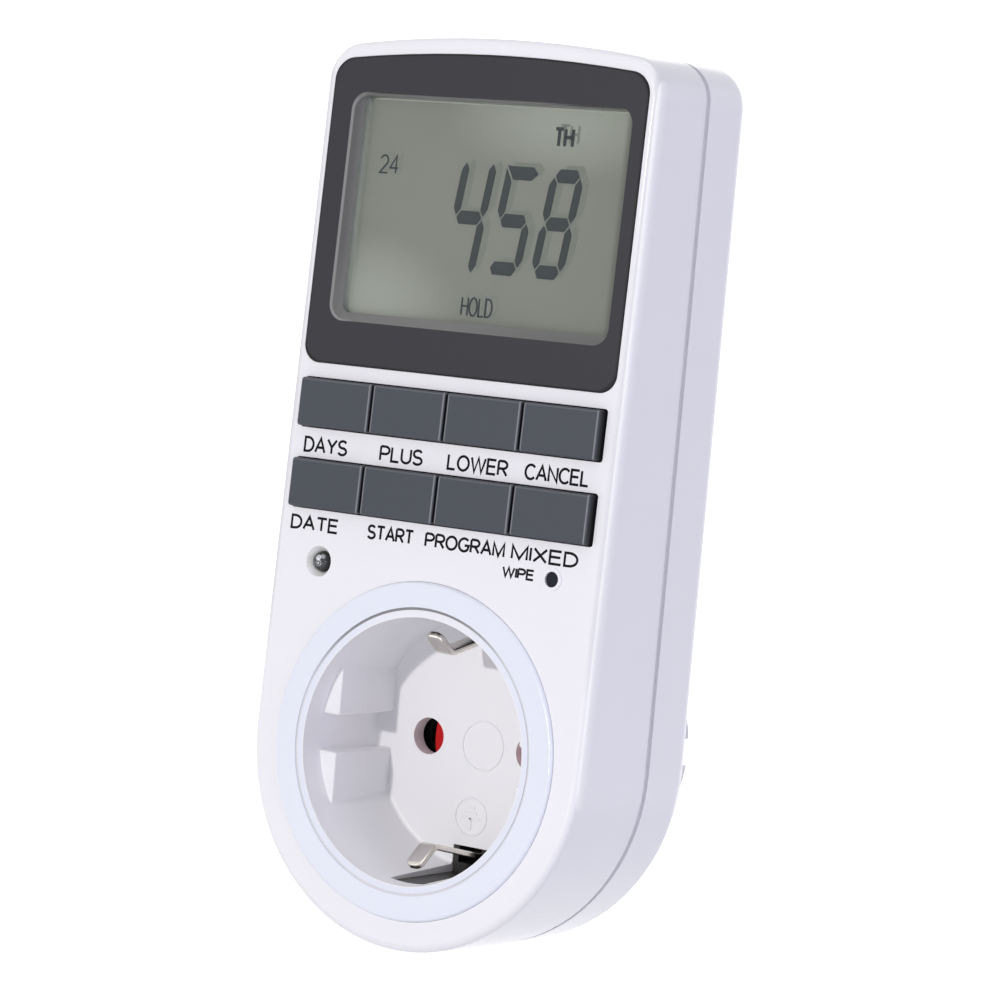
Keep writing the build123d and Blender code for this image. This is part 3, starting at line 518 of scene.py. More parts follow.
BOWL = [(0, 1), *arc(0.3, 0.735, 0.26, 0.265, 90, -90), (0, 0.47)]
LETTERS = {
    "A": [[(0, 0), (0.33, 1), (0.66, 0)], [(0.11, 0.34), (0.55, 0.34)]],
    "C": [arc(0.36, 0.5, 0.36, 0.5, 42, 318, 20)],
    "D": [[(0, 0), (0, 1), *arc(0.22, 0.5, 0.38, 0.5, 90, -90), (0, 0), (0, 0.1)]],
    "E": [[(0.53, 1), (0, 1), (0, 0), (0.54, 0)], [(0, 0.53), (0.49, 0.53)]],
    "G": [[*arc(0.36, 0.5, 0.36, 0.5, 44, 318, 20), (0.68, 0.46), (0.4, 0.46)]],
    "H": [[(0, 0), (0, 1)], [(0.58, 0), (0.58, 1)], [(0, 0.52), (0.58, 0.52)]],
    "I": [[(0, 0), (0, 1)]],
    "L": [[(0, 1), (0, 0), (0.48, 0)]],
    "M": [[(0, 0), (0, 1), (0.36, 0.02), (0.72, 1), (0.72, 0)]],
    "N": [[(0, 0), (0, 1), (0.58, 0), (0.58, 1)]],
    "O": [arc(0.36, 0.5, 0.36, 0.5, 90, 455, 26)],
    "P": [BOWL, [(0, 0), (0, 1.0)]],
    "R": [BOWL, [(0, 0), (0, 1.0)], [(0.28, 0.47), (0.57, 0)]],
    "S": [arc(0.28, 0.745, 0.26, 0.255, 28, 262) + arc(0.28, 0.25, 0.28, 0.25, 82, -158)],
    "T": [[(0, 1), (0.6, 1)], [(0.3, 1), (0.3, 0)]],
    "U": [[(0, 1), *arc(0.29, 0.32, 0.29, 0.32, 180, 360), (0.58, 1)]],
    "W": [[(0, 1), (0.23, 0), (0.46, 1), (0.69, 0), (0.92, 1)]],
    "X": [[(0, 0), (0.6, 1)], [(0, 1), (0.6, 0)]],
    "Y": [[(0, 1), (0.31, 0.46), (0.62, 1)], [(0.31, 0.46), (0.31, 0)]],
    "2": [[*arc(0.28, 0.72, 0.28, 0.28, 165, -32), (0, 0), (0.58, 0)]],
    "4": [[(0.44, 0), (0.44, 1), (0, 0.3), (0.6, 0.3)]],
}


def ribbon(points, half, low, high):
    """A flat bar along a line: at each point the sides lie half / cos(b / 2) to the left and right
    along the mean normal, where b is the bend there; sharp bends are cut at 2.2 half widths."""
    points = np.array(points, float)
    run = np.diff(points, axis=0)
    run /= np.linalg.norm(run, axis=1)[:, None]
    normal = np.stack((-run[:, 1], run[:, 0]), axis=-1)
    before, after = np.concatenate((normal[:1], normal)), np.concatenate((normal, normal[-1:]))
    mean = before + after
    mean /= np.linalg.norm(mean, axis=1)[:, None]
    reach = half * np.minimum(2.2, 1 / (mean * after).sum(1))[:, None]
    left, right = points + mean * reach, points - mean * reach
    flat = np.stack((left, right, right, left), axis=1)
    return on_face(flat[..., 0], flat[..., 1], np.array((high, high, low, low))[None])


def lettering(name, text, box, stroke, out, thick, material, slot):
    """A word of flat bars, its letters' centre lines stretched to fill a box on the face."""
    left, right, low, high = box
    lines, start, gap = [], 0.0, 0.17
    for letter in text:
        drawn = [np.array(line, float) + (start, 0) for line in LETTERS[letter]]
        lines += drawn
        start = max(line[:, 0].max() for line in drawn) + gap
    spread = (right - left - stroke) / (start - gap)
    corners, faces, count = [], [], 0
    for line in lines:
        line = (left + stroke / 2, low + stroke / 2) + line * (spread, high - low - stroke)
        bar = ribbon(line, stroke / 2, out, out + thick)
        corners.append(bar.reshape(-1, 3))
        faces += [[corner + count for corner in face] for face in ring_faces(1, len(bar), 4)]
        count += len(bar) * 4
    put(name, np.concatenate(corners), faces, material, slot)


class TIMER_OT_display(bpy.types.Operator):
    """Display surround, window, back film, digits and words"""

    bl_idname = "timer.display"
    bl_label = "Display"

    def execute(self, context):
        shades = context.scene.timer_colours
        sizes = context.scene.timer_sizes
        wear(self.bezel(shades.bezel, shades.slope), "display_bezel")
        wear(clear("window_acrylic", (0.985, 0.99, 0.985), haze=9.0, share=0.15),
             "display_window")
        wear(self.film(shades.glass), "lcd_panel")
        wear(moulded("holder_plastic", srgb(225, 225, 222), 0.5), "lcd_holder")
        wear(moulded("connector_rubber", srgb(70, 70, 74), 0.6), "lcd_connector")
        segment = moulded("segment_black", shades.segment, 0.6, depth=0.0,
                          Specular_IOR_Level=0.2)
        ghost = moulded("segment_shadow", shades.ghost, 0.7, depth=0.0)
        faint = moulded("word_shadow", scaled(shades.ghost, 1.06), 0.7, depth=0.0)
        spots = ((4, -5.6, 6.15), (5, 2.35, 6.2), (8, 10.35, 5.8))
        outlines = np.concatenate([digit_bars(*spot, sizes) for spot in spots]) + (0, DIGIT_FOOT)
        away = np.array((1.0, 0.55)) * sizes.ghost_shift / MM
        put("display_digits", *flat_plates(outlines, *SEGMENTS), segment, "part_black")
        put("digit_shadows", *flat_plates(outlines + away, *SHADOWS), ghost, "lcd_glass")
        words = (("display_day", "TH", (10.9, 14.5, 90.15, 93.15), 0.52),
                 ("display_half", "24", (-19.9, -16.3, 84.6, 87.5), 0.28),
                 ("display_state", "HOLD", (-2.1, 3.6, 64.5, 67.4), 0.28))
        thinner = 0.8                                  # a word's shadow, and how far it is moved
        for name, text, box, stroke in words:
            lettering(name, text, box, stroke, *SEGMENTS, segment, "part_black")
            moved = np.array(box) + np.repeat(away * thinner, 2)
            lettering(
                name + "_shadow", text, moved, stroke * thinner, *SHADOWS, faint, "lcd_glass")
        return {"FINISHED"}

    def bezel(self, shade, slope):
        """Smooth dark plastic with painted shade, near black, in the gap round its edge, and paler
        on the slope down to the window, with painted light most below, above and at the lower left
        corner, and a painted highlight, a fine light line, where the slope starts on the left."""
        finish = Finish("bezel_plastic")
        x, up, out = finish.face_axes()
        fine = finish.noise(0.09, 3.0, 0.6)
        clouds = finish.noise(16.0, 2.0)
        base = finish.clouded(clouds, shade, 0.95, 1.04)
        # painted shade: the bezel goes near black round the surround's outer edge
        base = finish.shaded(base, shade, (self.edge(x, up), 0.12))
        (middle, level), (wide, high), corner = OPENING
        inside = round_box(abs(x - middle) - wide, abs(up - level) - high, corner)
        # painted light on the slope below, above and at the lower left corner (the 1.65 factor)
        below = up.ramp(63.8, 63.3) * x.ramp(-23.5, -21.5) * (1.0 - x.ramp(-5.0, 20.0) * 0.5)
        above = up.ramp(95.6, 95.9) * x.ramp(-22.5, -20.0)
        left = up.ramp(74.0, 64.0) * x.ramp(-21.5, -23.0) * 0.5
        ramp = finish.shaded(
            slope, slope, (out.ramp(-0.3, -1.1), 1.3), (below.most(above).most(left), 1.65))
        arch = up.ramp(96.0, 96.15) * x.ramp(8.0, 18.0)
        base = finish.mix(inside.ramp(0.04, -0.06) * (1.0 - arch), base, ramp)
        # painted highlight: a fine light line where the slope starts on the left
        line = abs(inside + 0.1).ramp(0.22, 0.1) * x.ramp(-19.0, -22.5)
        base = finish.shaded(base, slope, (line * 0.8, 2.6))
        return finish.done(finish.surface(
            Base_Color=base, Roughness=0.42 + (fine - 0.5) * 0.1, Specular_IOR_Level=0.25,
            Normal=finish.relief(fine, 0.003)))

    def edge(self, x, up):
        """Mask of the painted shade round the surround: 1 at its outer edge and 0 further in. Its
        arch is taken out first: the height is raised by x^2 / 2r at the upper edge and by less
        below it, down to none at the lower edge."""
        (middle, level), (wide, high), corner = SURROUND
        bottom, tall = level - high - corner, 2 * (high + corner)
        flat = up + x * x / (2 * ARCH_R) * (up - bottom) / tall
        past = round_box(abs(x - middle) - wide, abs(flat - level) - high, corner)
        return past.ramp(-0.42, -0.12)

    def film(self, shade):
        """Back film of the display: faint grain, painted light in two soft pale areas at its upper
        right and lower left and at its left and upper edges, against the surround's shadow there,
        and painted shade at its right edge. Each area fades with d = (x - a)^2 / p^2 + (up - b)^2
        / q^2."""
        finish = Finish("display_film")
        x, up, _ = finish.face_axes()
        fine = finish.noise(0.25, 2.0, 0.6)
        light_fields = []
        for middle, level, wide, high in ((14.0, 96.0, 20.0, 9.0), (-20.0, 64.0, 15.0, 10.0)):
            across, along = (x - middle) / wide, (up - level) / high
            light_fields.append(((1.5 - across * across - along * along) / 1.5).most(0.0) ** 1.5)
        # painted light: the pale areas and the left and upper edges; painted shade: the right
        # edge; the last pair is grain
        base = finish.shaded(
            shade, shade, (light_fields[0].most(light_fields[1]), 1.58), (x.ramp(22.9, 24.2) * 0.85, 0.5),
            (x.ramp(-22.5, -23.1), 4.1), (up.ramp(95.62, 95.8), 2.0),
            (fine.ramp(0.3, 0.7) * 0.03, 0.8))
        return finish.done(finish.surface(
            Base_Color=base, Roughness=0.6 + fine * 0.15, Specular_IOR_Level=0.3))


class TIMER_OT_words(bpy.types.Operator):
    """Plain words printed under the keys"""

    bl_idname = "timer.words"
    bl_label = "Printed words"

    def execute(self, context):
        sizes = context.scene.timer_sizes
        ink = moulded("printing_ink", context.scene.timer_colours.ink, 0.55, depth=0.001,
                      Specular_IOR_Level=0.1)
        rows = (
            (41.75, 44.2, (("DAYS", -26.2, -18.0), ("PLUS", -12.0, -4.0),
                           ("LOWER", 0.4, 11.3), ("CANCEL", 14.2, 25.5))),
            (30.05, 32.3, (("DATE", -27.0, -18.0), ("START", -12.6, -4.0),
                           ("PROGRAM", -2.0, 12.4), ("MIXED", 13.5, 25.2))),
            (27.35, 29.0, (("WIPE", 12.3, 18.0),)),
        )
        small = 1.9                                    # below this height the strokes get thinner
        for low, high, words in rows:
            stroke = sizes.stroke / MM * min(1.0, (high - low) / small)
            for text, left, right in words:
                lettering("word_" + text.lower(), text, (left, right, low, high), stroke,
                          0.0, sizes.ink / MM, ink, "part_black")
        return {"FINISHED"}


# ------------------------------------------------------------------ housing and plug
class TIMER_OT_housing(bpy.types.Operator):
    """Shells and their screws"""

    bl_idname = "timer.housing"
    bl_label = "Housing"

    def execute(self, context):
        shell = self.shell(context.scene.timer_colours.shell)
        wear(shell, "front_shell", "rear_shell")
        zinc = plated("zinc_plating", srgb(176, 178, 182), 0.34)
        wear(zinc, "case_screws", "carrier_screws", "display_board_screws", "power_board_screws")
        return {"FINISHED"}

    def shell(self, shade):
        """Satin gloss plastic with a faint lustre, with painted shade in the joint between the
        shells, on the rounded front edge and on the plug, and painted light just behind that edge
        and in the hollow round the lamp."""
        finish = Finish("shell_plastic")
        x, up, out = finish.face_axes()
        back = finish.axes()[1] / MM
        fine = finish.noise(0.16, 3.0, 0.6)
        clouds = finish.noise(14.0, 3.0)
        groove_shade = (abs(back - JOINT_Y) - 0.56).ramp(0.02, -0.3)
        side = abs(x) - SIDE_X
        edge = side.ramp(-1.65, -1.2) * out.ramp(-1.1, -0.6) * up.ramp(8.0, 20.0)
        behind = side.ramp(-0.9, -0.65) * out.ramp(-2.7, -0.7)
        lamp = span(x - LAMP_AT[0], up - LAMP_AT[1])
        dimple_light = lamp.ramp(2.4, 2.2) * out.ramp(-3.0, -2.5)
        plug = (back - BACK_Y).ramp(0.4, 1.4)
        # painted shade in the joint, on the rounded front edge and on the plug; painted light just
        # behind that edge and round the lamp
        base = finish.shaded(
            finish.clouded(clouds, shade, 0.985, 1.008), shade,
            (groove_shade, 0.72), (edge, 0.9), (behind.most(dimple_light), 1.2), (plug, 0.78))
        rough = 0.34 + (fine - 0.5) * 0.1 + (clouds - 0.5) * 0.06 + groove_shade.most(edge) * 0.3
        return finish.done(finish.surface(
            Base_Color=base, Roughness=rough, Normal=finish.relief(fine, 0.003),
            Coat_Weight=0.8 - edge * 0.6, Coat_Roughness=0.14))


class TIMER_OT_plug(bpy.types.Operator):
    """Plug pins and side strips"""

    bl_idname = "timer.plug"
    bl_label = "Plug"

    def execute(self, context):
        nickel = context.scene.timer_colours.nickel
        wear(plated("pin_nickel", nickel, 0.2), "live_pin", "neutral_pin")
        wear(plated("strip_nickel", scaled(nickel, 0.95), 0.24),
             "plug_earth_strip_left", "plug_earth_strip_right")
        return {"FINISHED"}


class TIMER_OT_keys(bpy.types.Operator):
    """Eight key caps and the rubber mat behind them"""

    bl_idname = "timer.keys"
    bl_label = "Keys"

    def execute(self, context):
        cap = self.cap(context.scene.timer_colours.keys)
        wear(cap, *(node for node in NODES if node.endswith("_key")))
        wear(moulded("mat_silicone", srgb(178, 178, 182), 0.6, grain=0.3, depth=0.006), "key_mat")
        return {"FINISHED"}

    def cap(self, shade):
        """Fine satin plastic, with a painted highlight, a pale line where the rounded edges start,
        and painted shade, dark, on the sides below. The distance past a cap's end is
        |frac((x - x0) / pitch) - 1/2| pitch less half the cap, and the distance past its upper edge
        is the height above its row's middle less half the cap."""
        finish = Finish("key_plastic")
        x, up, out = finish.face_axes()
        fine = finish.noise(0.11, 3.0, 0.65)
        clouds = finish.noise(9.0, 2.0)
        base = finish.clouded(clouds, shade, 0.97, 1.03)
        across = abs(((x - KEY_LEFT) / KEY_PITCH).fraction() - 0.5) * KEY_PITCH - KEY_HALF[0]
        lower, upper = KEY_ROWS
        above = up - lower - up.ramp(42.5, 43.5) * (upper - lower) - KEY_HALF[1]
        # painted highlight: a pale line, srgb 122 124 128, along the caps' ends and, weaker, their
        # upper edges
        ends, tops = (abs(past + 0.28).ramp(0.17, 0.06) for past in (across, above))
        line = (ends * x.ramp(-26.2, -25.8)).most(tops * 0.35)
        base = finish.mix(line, base, srgb(122, 124, 128))
        # painted shade: the caps' sides below their tops go dark
        base = finish.shaded(base, shade, (out.ramp(1.5, 1.25), 0.4), (out.ramp(1.2, 0.9), 0.14))
        return finish.done(finish.surface(
            Base_Color=base, Roughness=0.46 + (fine - 0.5) * 0.12, Specular_IOR_Level=0.32,
            Normal=finish.relief(fine, 0.005)))


class TIMER_OT_reset(bpy.types.Operator):
    """Reset plunger and its switch"""

    bl_idname = "timer.reset"
    bl_label = "Reset button"

    def execute(self, context):
        wear(moulded("reset_plastic", srgb(30, 32, 42), 0.4, Specular_IOR_Level=0.12),
             "reset_button")
        wear(moulded("switch_plastic", srgb(40, 40, 42), 0.5), "reset_switch")
        return {"FINISHED"}


class TIMER_OT_lamp(bpy.types.Operator):
    """Clear lamp with the dark core that its lens shows"""

    bl_idname = "timer.lamp"
    bl_label = "Lamp"

    def execute(self, context):
        wear(clear("lamp_resin", (0.95, 0.96, 0.97), haze=1.2, share=0.7), "led_lamp")
        steps, ball, foot = 32, 1.35, -4.8
        turn = full_turn(steps)[None, None, :]
        rise = np.radians((0.0, 15.0, 30.0, 45.0, 60.0, 75.0, 88.0))
        radius = np.concatenate(((ball - 0.05, ball), ball * np.cos(rise)))[None, :, None]
        out = np.concatenate(((foot, foot + 0.1), ball * np.sin(rise) - LAMP_DEPTH))[None, :, None]
        core = on_face(LAMP_AT[0] + radius * np.cos(turn), LAMP_AT[1] + radius * np.sin(turn), out)
        put("lamp_core", core, ring_faces(1, radius.size, steps), self.core(), "part_black",
            smooth=40)
        return {"FINISHED"}

    def core(self):
        """A dark ball with the bright chip cup, its post, and the wire's arc and end drawn on it:
        each is a ball or a ring about a point, |p - c| < r or ||p - c| - r| < w, mostly with an
        uneven edge."""
        finish = Finish("lamp_core")
        x, up, out = finish.face_axes()
        rough = finish.noise(0.35, 3.0, 0.7)
        streak = finish.noise(0.14, 2.0, 0.6)

        def reach(right, above, before):
            """Distance to a point given from the middle of the lens's dome."""
            return span(x - (LAMP_AT[0] + right), up - (LAMP_AT[1] + above),
                        out - (before - LAMP_DEPTH))

        uneven = (rough - 0.5) * 0.35
        cup = (reach(0.04, 0.63, 1.19) + uneven).ramp(0.56, 0.42)
        post = (reach(0.61, 0.87, 0.83) + uneven).ramp(0.5, 0.3) * 0.6
        loop = reach(0.22, -0.25, 1.31)
        wire = abs(loop + uneven * 0.4 - 0.42).ramp(0.09, 0.03) * 0.6
        dot = loop.ramp(0.2, 0.1)
        bright = cup.most(post).most(wire).most(dot) * streak.ramp(0.2, 0.55)
        return finish.done(finish.surface(
            Base_Color=finish.mix(bright, srgb(52, 52, 54), srgb(238, 238, 244)),
            Roughness=0.22 + rough * 0.2, Metallic=bright * 0.3, Specular_IOR_Level=0.4))


# ------------------------------------------------------------------ socket
class TIMER_OT_socket(bpy.types.Operator):
    """Socket well, trim ring, shutter, earth clips and the marks on the floor"""

    bl_idname = "timer.socket"
    bl_label = "Socket"

    def execute(self, context):
        shades = context.scene.timer_colours
        sizes = context.scene.timer_sizes
        white, trim = shades.insert, shades.trim
        wear(self.insert(white, trim), "socket_well")
        wear(moulded("trim_plastic", trim, 0.35, grain=0.14, depth=0.003, cloud=0.01,
                     Coat_Weight=0.7, Coat_Roughness=0.12), "socket_trim_ring")
        wear(moulded("shutter_plastic", shades.shutter, 0.3, grain=0.2, depth=0.003, cloud=0.05,
                     Specular_IOR_Level=0.25), "safety_shutter")
        # painted shade: this near black piece behind the clip slots stands for the dark cavity
        # there
        wear(moulded("carrier_shade_black", srgb(30, 29, 30), 0.5), "contact_carrier")
        clip = plated("clip_nickel", shades.nickel, 0.2, drawn=(1.8, 0.06, 0.06))
        path = np.array(((-23.2, 16.8), (-29.8, 16.8), (-41.0, 14.5), (-44.7, 17.4)))   # y and z
        for node, side in (("earth_clip_upper", 1), ("earth_clip_lower", -1)):
            strip = self.strip(path * (1, side), sizes.clip_edge / MM)
            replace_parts(put(node + "_strip", *strip, clip, "nickel_strip", smooth=35), node)
        # painted shade: the raised marks are slightly darker than the floor round them
        pale = moulded("mark_plastic", scaled(white, 0.985), 0.4, depth=0.001)
        self.marks(pale, sizes.mark_line / MM)
        # painted shade: a grey ring set in the gap round the rim, darkest at the top
        steps = 120
        turn = full_turn(steps)[None, :, None]
        radius = np.array((20.7, 21.3, 21.3, 20.7))    # the shade ring's section, and its out
        out = np.array((0.25, 0.25, -0.4, -0.4))
        shade_ring = on_face(radius * np.cos(turn), radius * np.sin(turn), out)
        faces = inwards(ring_faces(1, steps, len(radius), closed=True))
        put("gap_bead", shade_ring, faces, self.gap(white, radius.mean()), "insert_white", smooth=30)
        return {"FINISHED"}

    def gap(self, shade, radius):
        """Painted shade in the narrow gap round the rim, grey and darkest at the top: the share is
        the cosine of the angle to a direction just left of upright."""
        finish = Finish("gap_shade_plastic")
        x, up, _ = finish.face_axes()
        share = (up * 0.98 - x * 0.17) / float(radius)
        base = finish.clouded(share.ramp(0.5, 0.95), shade, 0.85, 0.3)
        return finish.done(finish.surface(Base_Color=base, Roughness=0.5, Specular_IOR_Level=0.2))

    def insert(self, shade, trim):
        """Satin plastic, tinted like the ring on the rim round the well's mouth."""
        finish = Finish("insert_plastic")
        x, y, z = finish.axes()
        fine = finish.noise(0.2, 3.0, 0.6)
        clouds = finish.noise(14.0, 3.0)
        base = finish.clouded(clouds, shade, 0.985, 1.008)
        rim = (span(x, z) / MM).ramp(19.8, 19.95) * (y / MM).ramp(-46.8, -47.2)
        base = finish.mix(rim, base, trim)
        return finish.done(finish.surface(
            Base_Color=base, Roughness=0.42 + (fine - 0.5) * 0.1 + (clouds - 0.5) * 0.06,
            Normal=finish.relief(fine, 0.004)))

    def strip(self, corners, edge):
        """A rounded oblong carried along the strip's bent path: centre + w across + t normal. The
        free end is round: at angle a its ring lies r (1 - sin a) before the tip and is half wide
        less r (1 - cos a)."""
        half, half_thick, nose, bend = 1.5, 0.45, 1.3, 1.6
        bend_steps, corner_steps = 11, 5
        path = bent_path(corners, bend, bend_steps)
        end = path[-1] - path[-2]
        end /= np.linalg.norm(end)
        turn = np.radians((0.0, 18.0, 36.0, 54.0, 70.0, 82.0, 90.0))
        path = np.concatenate((path[:-1], path[-1] - end * (nose * (1 - np.sin(turn)))[:, None]))
        inset = np.zeros((len(path), 1))
        inset[-len(turn):, 0] = nose * (1 - np.cos(turn))
        run = np.gradient(path, axis=0)
        run /= np.linalg.norm(run, axis=1)[:, None]
        normal = np.stack((-run[:, 1], run[:, 0]), axis=-1)
        section = box_outline((half, half_thick), edge, corner_steps)
        across = section[None, :, 0] * (1 - inset / half)
        thick = section[None, :, 1] * (1 - (inset / nose) ** 4 * 0.5)
        rings = np.stack((
            across,
            path[:, None, 0] + thick * normal[:, None, 0],
            path[:, None, 1] + thick * normal[:, None, 1]), axis=-1) * MM
        around = rings.shape[1]
        faces = ring_faces(1, len(path), around)
        first = rings[0]
        area = np.cross(first[1] - first[0], first[around // 2] - first[0])
        outwards = area @ (rings[1].mean(0) - first.mean(0)) > 0
        return rings, faces if outwards else inwards(faces)

    def marks(self, material, line):
        """Raised lines on the floor: a plain ring, and the earth sign in a ring. A ring is a low
        rounded section turned about its centre; a stroke is a low bar."""
        steps, sunk, raised = 72, FLOOR_Y + 0.05, FLOOR_Y - 0.16
        turn = full_turn(steps)[None, :, None]
        offset = np.array((-0.5, 0.5, 0.3, -0.3)) * line
        height = np.array((sunk, sunk, raised, raised))
        sign = (-0.45, -11.05)
        rings = []
        for x, z, radius in ((0.6, -0.1, 3.7), (*sign, 2.85)):
            reach = radius + offset
            rings.append(on_wall(x + reach * np.cos(turn), z + reach * np.sin(turn), height))
        faces = inwards(ring_faces(len(rings), steps, len(offset), closed=True))
        put("floor_rings", np.concatenate(rings), faces, material, "insert_white", smooth=30)
        bars = np.array(((0, -1.1, 0.2, 0.9), (0, -0.2, 1.6, 0.2),     # middle and half size
                         (0, 0.6, 1.1, 0.2), (0, 1.4, 0.55, 0.2)))
        outline = bars[:, None, :2] + sign + bars[:, None, 2:] * QUARTERS
        level = np.array((sunk, raised))[None, :, None]
        corners = on_wall(outline[:, None, :, 0], outline[:, None, :, 1], level)
        put("earth_sign", corners, ring_faces(len(bars), 2, 4), material, "insert_white")


# ------------------------------------------------------------------ inside
class TIMER_OT_insides(bpy.types.Operator):
    """Contacts, straps, boards and the parts on them"""

    bl_idname = "timer.insides"
    bl_label = "Insides"

    def execute(self, context):
        wear(plated("strap_brass", srgb(214, 178, 106), 0.3),
             "live_socket_contact", "neutral_socket_contact", "live_in_strap", "live_out_strap",
             "neutral_feed_strap", "neutral_link", "earth_link_ring")
        wear(plated("cell_plating", srgb(190, 190, 190), 0.3), "backup_battery", "clock_crystal")
        wear(plated("spring_steel", srgb(180, 180, 178), 0.28), "shutter_spring")
        wear(self.board(), "display_board", "power_board")
        wear(moulded("package_black", srgb(34, 34, 36), 0.55),
             "controller_chip", "board_header", "filter_capacitor", "rectifier_diodes")
        wear(moulded("relay_plastic", srgb(52, 92, 160), 0.45), "relay", "varistor")
        wear(moulded("capacitor_resin", srgb(214, 176, 42), 0.45), "dropper_capacitor")
        wear(moulded("resistor_lacquer", srgb(186, 160, 122), 0.5), "board_resistors")
        return {"FINISHED"}

    def board(self):
        """Green solder mask with the faint pattern of tracks under it."""
        finish = Finish("board_laminate")
        cells = finish.node("ShaderNodeTexVoronoi", {"distance": "CHEBYCHEV", "feature": "F1"}, {
            "Vector": finish.place, "Scale": 420.0})
        tracks = cells.ramp(0.42, 0.5)
        base = finish.mix(tracks, srgb(20, 92, 48), srgb(36, 122, 66))
        return finish.done(finish.surface(Base_Color=base, Roughness=0.35 + tracks * 0.15,
                                          Normal=finish.relief(tracks, 0.02)))


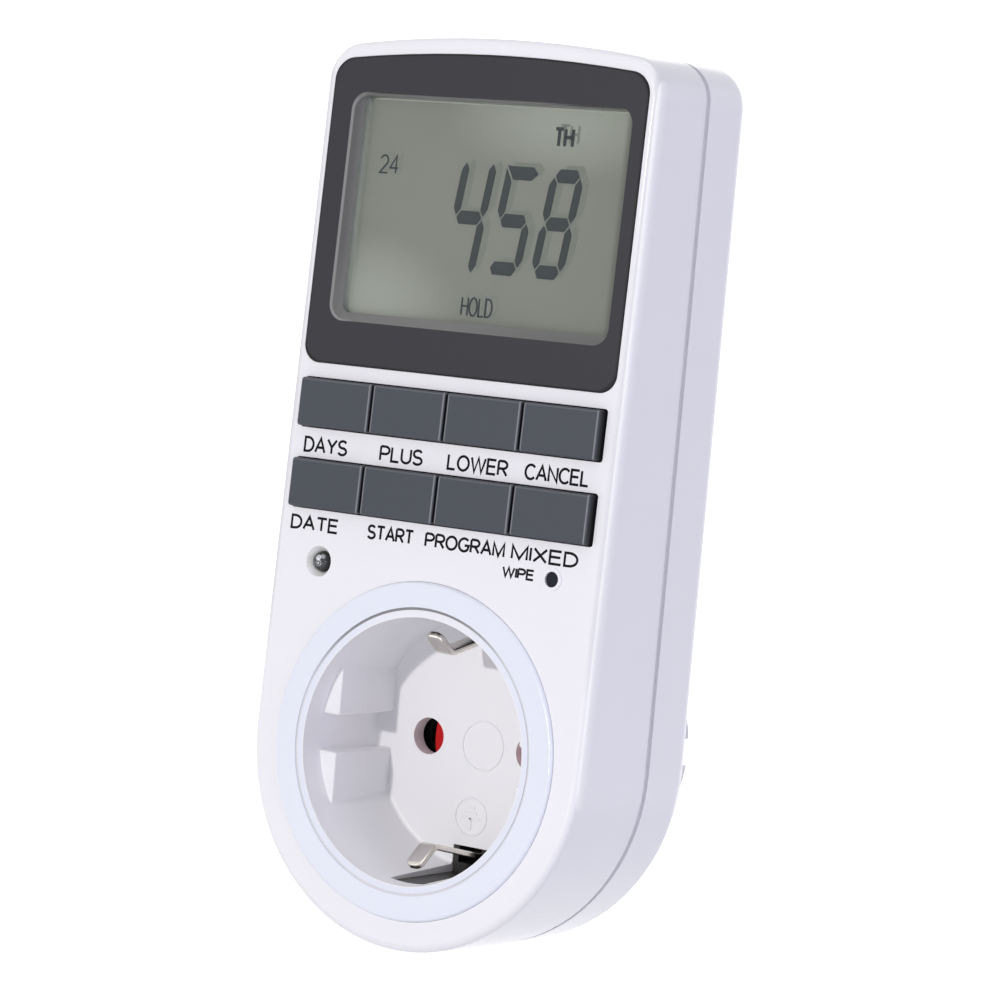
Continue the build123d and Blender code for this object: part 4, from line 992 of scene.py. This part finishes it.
# ------------------------------------------------------------------ stage
class TIMER_OT_stage(bpy.types.Operator):
    """Floor, lamps, even room light and the camera"""

    bl_idname = "timer.stage"
    bl_label = "Stage"

    def execute(self, context):
        light = context.scene.timer_light
        scene = context.scene
        scene.view_settings.view_transform = "Standard"
        self.floor(CAD_BOX[0].z - light.floor_gap)
        self.room(light)
        lamps = (                                      # power, tint, size across, place and aim
            ("key_lamp", light.key, (1, 0.992, 0.96), 0.035, (-0.062, -0.805, 0.185),
             (0, -0.04, 0.03)),
            ("side_lamp", light.side, (0.72, 0.74, 1), 0.18, (0.58, -0.21, 0.07),
             (0, -0.03, 0.03)),
            ("rear_lamp", light.rear, (0.7, 0.72, 1), 0.12, (0.53, 0.25, 0.06),
             (0, -0.03, 0.04)),
            ("top_lamp", light.top, (1, 1, 1), 0.6, (0.1, -0.25, 1.25), (0, -0.03, 0.04)),
        )
        for lamp in lamps:
            self.lamp(*lamp)
        self.camera()
        return {"FINISHED"}

    def floor(self, height):
        """A wide pale floor that curves up behind: z = 1.2 (y - b)^2 past the bend at b. Where it
        is looked at it glows, and less so close to the switch, which keeps the shadow there."""
        reach, bend, rows, columns = 3.0, 1.8, 41, 9
        run = np.linspace(-reach, reach, rows)[:, None]
        wide = np.linspace(-reach, reach, columns)[None, :]
        rise = np.clip(run - bend, 0, None) ** 2 * 1.2
        corners = np.stack(np.broadcast_arrays(wide, run, height + rise), axis=-1)
        first = np.arange(rows - 1)[:, None] * columns + np.arange(columns - 1)[None, :]
        faces = np.stack((first, first + 1, first + columns + 1, first + columns), axis=-1)
        mesh = bpy.data.meshes.new("studio_floor")
        mesh.from_pydata(corners.reshape(-1, 3).tolist(), [], faces.reshape(-1, 4).tolist())
        mesh.shade_smooth()
        finish = Finish("floor_paper")
        fibre = finish.noise(2.0, 3.0)
        paper = finish.surface(
            Base_Color=finish.mix(fibre, (0.86, 0.86, 0.865), (0.89, 0.89, 0.895)),
            Roughness=0.9, Normal=finish.relief(fibre, 0.05))
        x, y, _ = finish.axes()
        away = span(x, y).ramp(0.09, 0.2)
        glow = finish.node("ShaderNodeEmission", None, {
            "Color": (1, 1, 1), "Strength": finish.seen() * (0.62 + away * 0.38)})
        lit = finish.node("ShaderNodeAddShader", None, {0: paper, 1: glow})
        mesh.materials.append(finish.done(lit))
        piece = bpy.data.objects.new("studio_floor", mesh)
        bpy.context.scene.collection.objects.link(piece)

    def room(self, light):
        """Even light with a faint tint; white where it is looked at or mirrored."""
        world = bpy.data.worlds.new("studio_room")
        sky = Shader(world)
        even, white = (
            sky.node("ShaderNodeBackground", None, {"Color": tint, "Strength": strength})
            for tint, strength in ((light.room_tint, light.room), ((1, 1, 1), 1.0)))
        mixed = sky.node("ShaderNodeMixShader", None, {0: sky.seen(), 1: even, 2: white})
        sky.node("ShaderNodeOutputWorld", None, {"Surface": mixed})
        bpy.context.scene.world = world

    def lamp(self, name, watts, tint, size, place, aim):
        """A round lamp that faces the point it is aimed at."""
        data = bpy.data.lights.new(name, "AREA")
        data.shape = "DISK"
        data.size = size
        data.energy = watts
        data.color = tint
        lamp = bpy.data.objects.new(name, data)
        lamp.location = place
        lamp.rotation_euler = (Vector(place) - Vector(aim)).to_track_quat("Z", "Y").to_euler()
        bpy.context.scene.collection.objects.link(lamp)

    def camera(self):
        """A long lens a little above and to the right of the face, tilted by a small roll."""
        target, distance = Vector((11.73, FACE_Y, 38.46)) * MM, 532.28 * MM
        azimuth, elevation, roll = (math.radians(angle) for angle in (34.41, 3.51, 5.09))
        back = Vector((math.sin(azimuth) * math.cos(elevation),
                       -math.cos(azimuth) * math.cos(elevation), math.sin(elevation)))
        right = (-back).cross(Vector((0, 0, 1))).normalized()
        upward = back.cross(right)
        level = (right * math.cos(roll) + upward * math.sin(roll),
                 upward * math.cos(roll) - right * math.sin(roll), back)
        data = bpy.data.cameras.new("camera")
        data.sensor_width, data.lens = 36.0, 132.50952         # in millimetres
        data.clip_start, data.clip_end = 0.05, 20.0
        camera = bpy.data.objects.new("camera", data)
        bpy.context.scene.collection.objects.link(camera)
        turned = Matrix(level).transposed().to_4x4()
        camera.matrix_world = Matrix.Translation(target + back * distance) @ turned
        bpy.context.scene.camera = camera


class TIMER_PT_panel(bpy.types.Panel):
    """Steps that dress the switch, and the values they use"""

    bl_idname = "TIMER_PT_panel"
    bl_label = "Timer switch"
    bl_space_type = "VIEW_3D"
    bl_region_type = "UI"
    bl_category = "Timer switch"

    def draw(self, context):
        for operator in OPERATORS:
            self.layout.operator(operator.bl_idname)
        for group in ("timer_sizes", "timer_colours", "timer_light"):
            values = getattr(context.scene, group)
            box = self.layout.box()
            for name in values.bl_rna.properties.keys():
                if name not in ("rna_type", "name"):
                    box.prop(values, name)


OPERATORS = (
    TIMER_OT_housing, TIMER_OT_plug, TIMER_OT_socket, TIMER_OT_display, TIMER_OT_words,
    TIMER_OT_keys, TIMER_OT_reset, TIMER_OT_lamp, TIMER_OT_insides, TIMER_OT_stage,
)
GROUPS = {"timer_sizes": TimerSizes, "timer_colours": TimerColours, "timer_light": TimerLight}


def register():
    for group in (*GROUPS.values(), *OPERATORS, TIMER_PT_panel):
        bpy.utils.register_class(group)
    for name, group in GROUPS.items():
        setattr(bpy.types.Scene, name, PointerProperty(type=group))


def unregister():
    for name in GROUPS:
        delattr(bpy.types.Scene, name)
    for group in (TIMER_PT_panel, *reversed(OPERATORS), *GROUPS.values()):
        bpy.utils.unregister_class(group)


def main():
    """Dresses the switch step by step."""
    register()
    for operator in OPERATORS:
        family, step = operator.bl_idname.split(".")
        getattr(getattr(bpy.ops, family), step)()


if __name__ == "__main__":
    main()
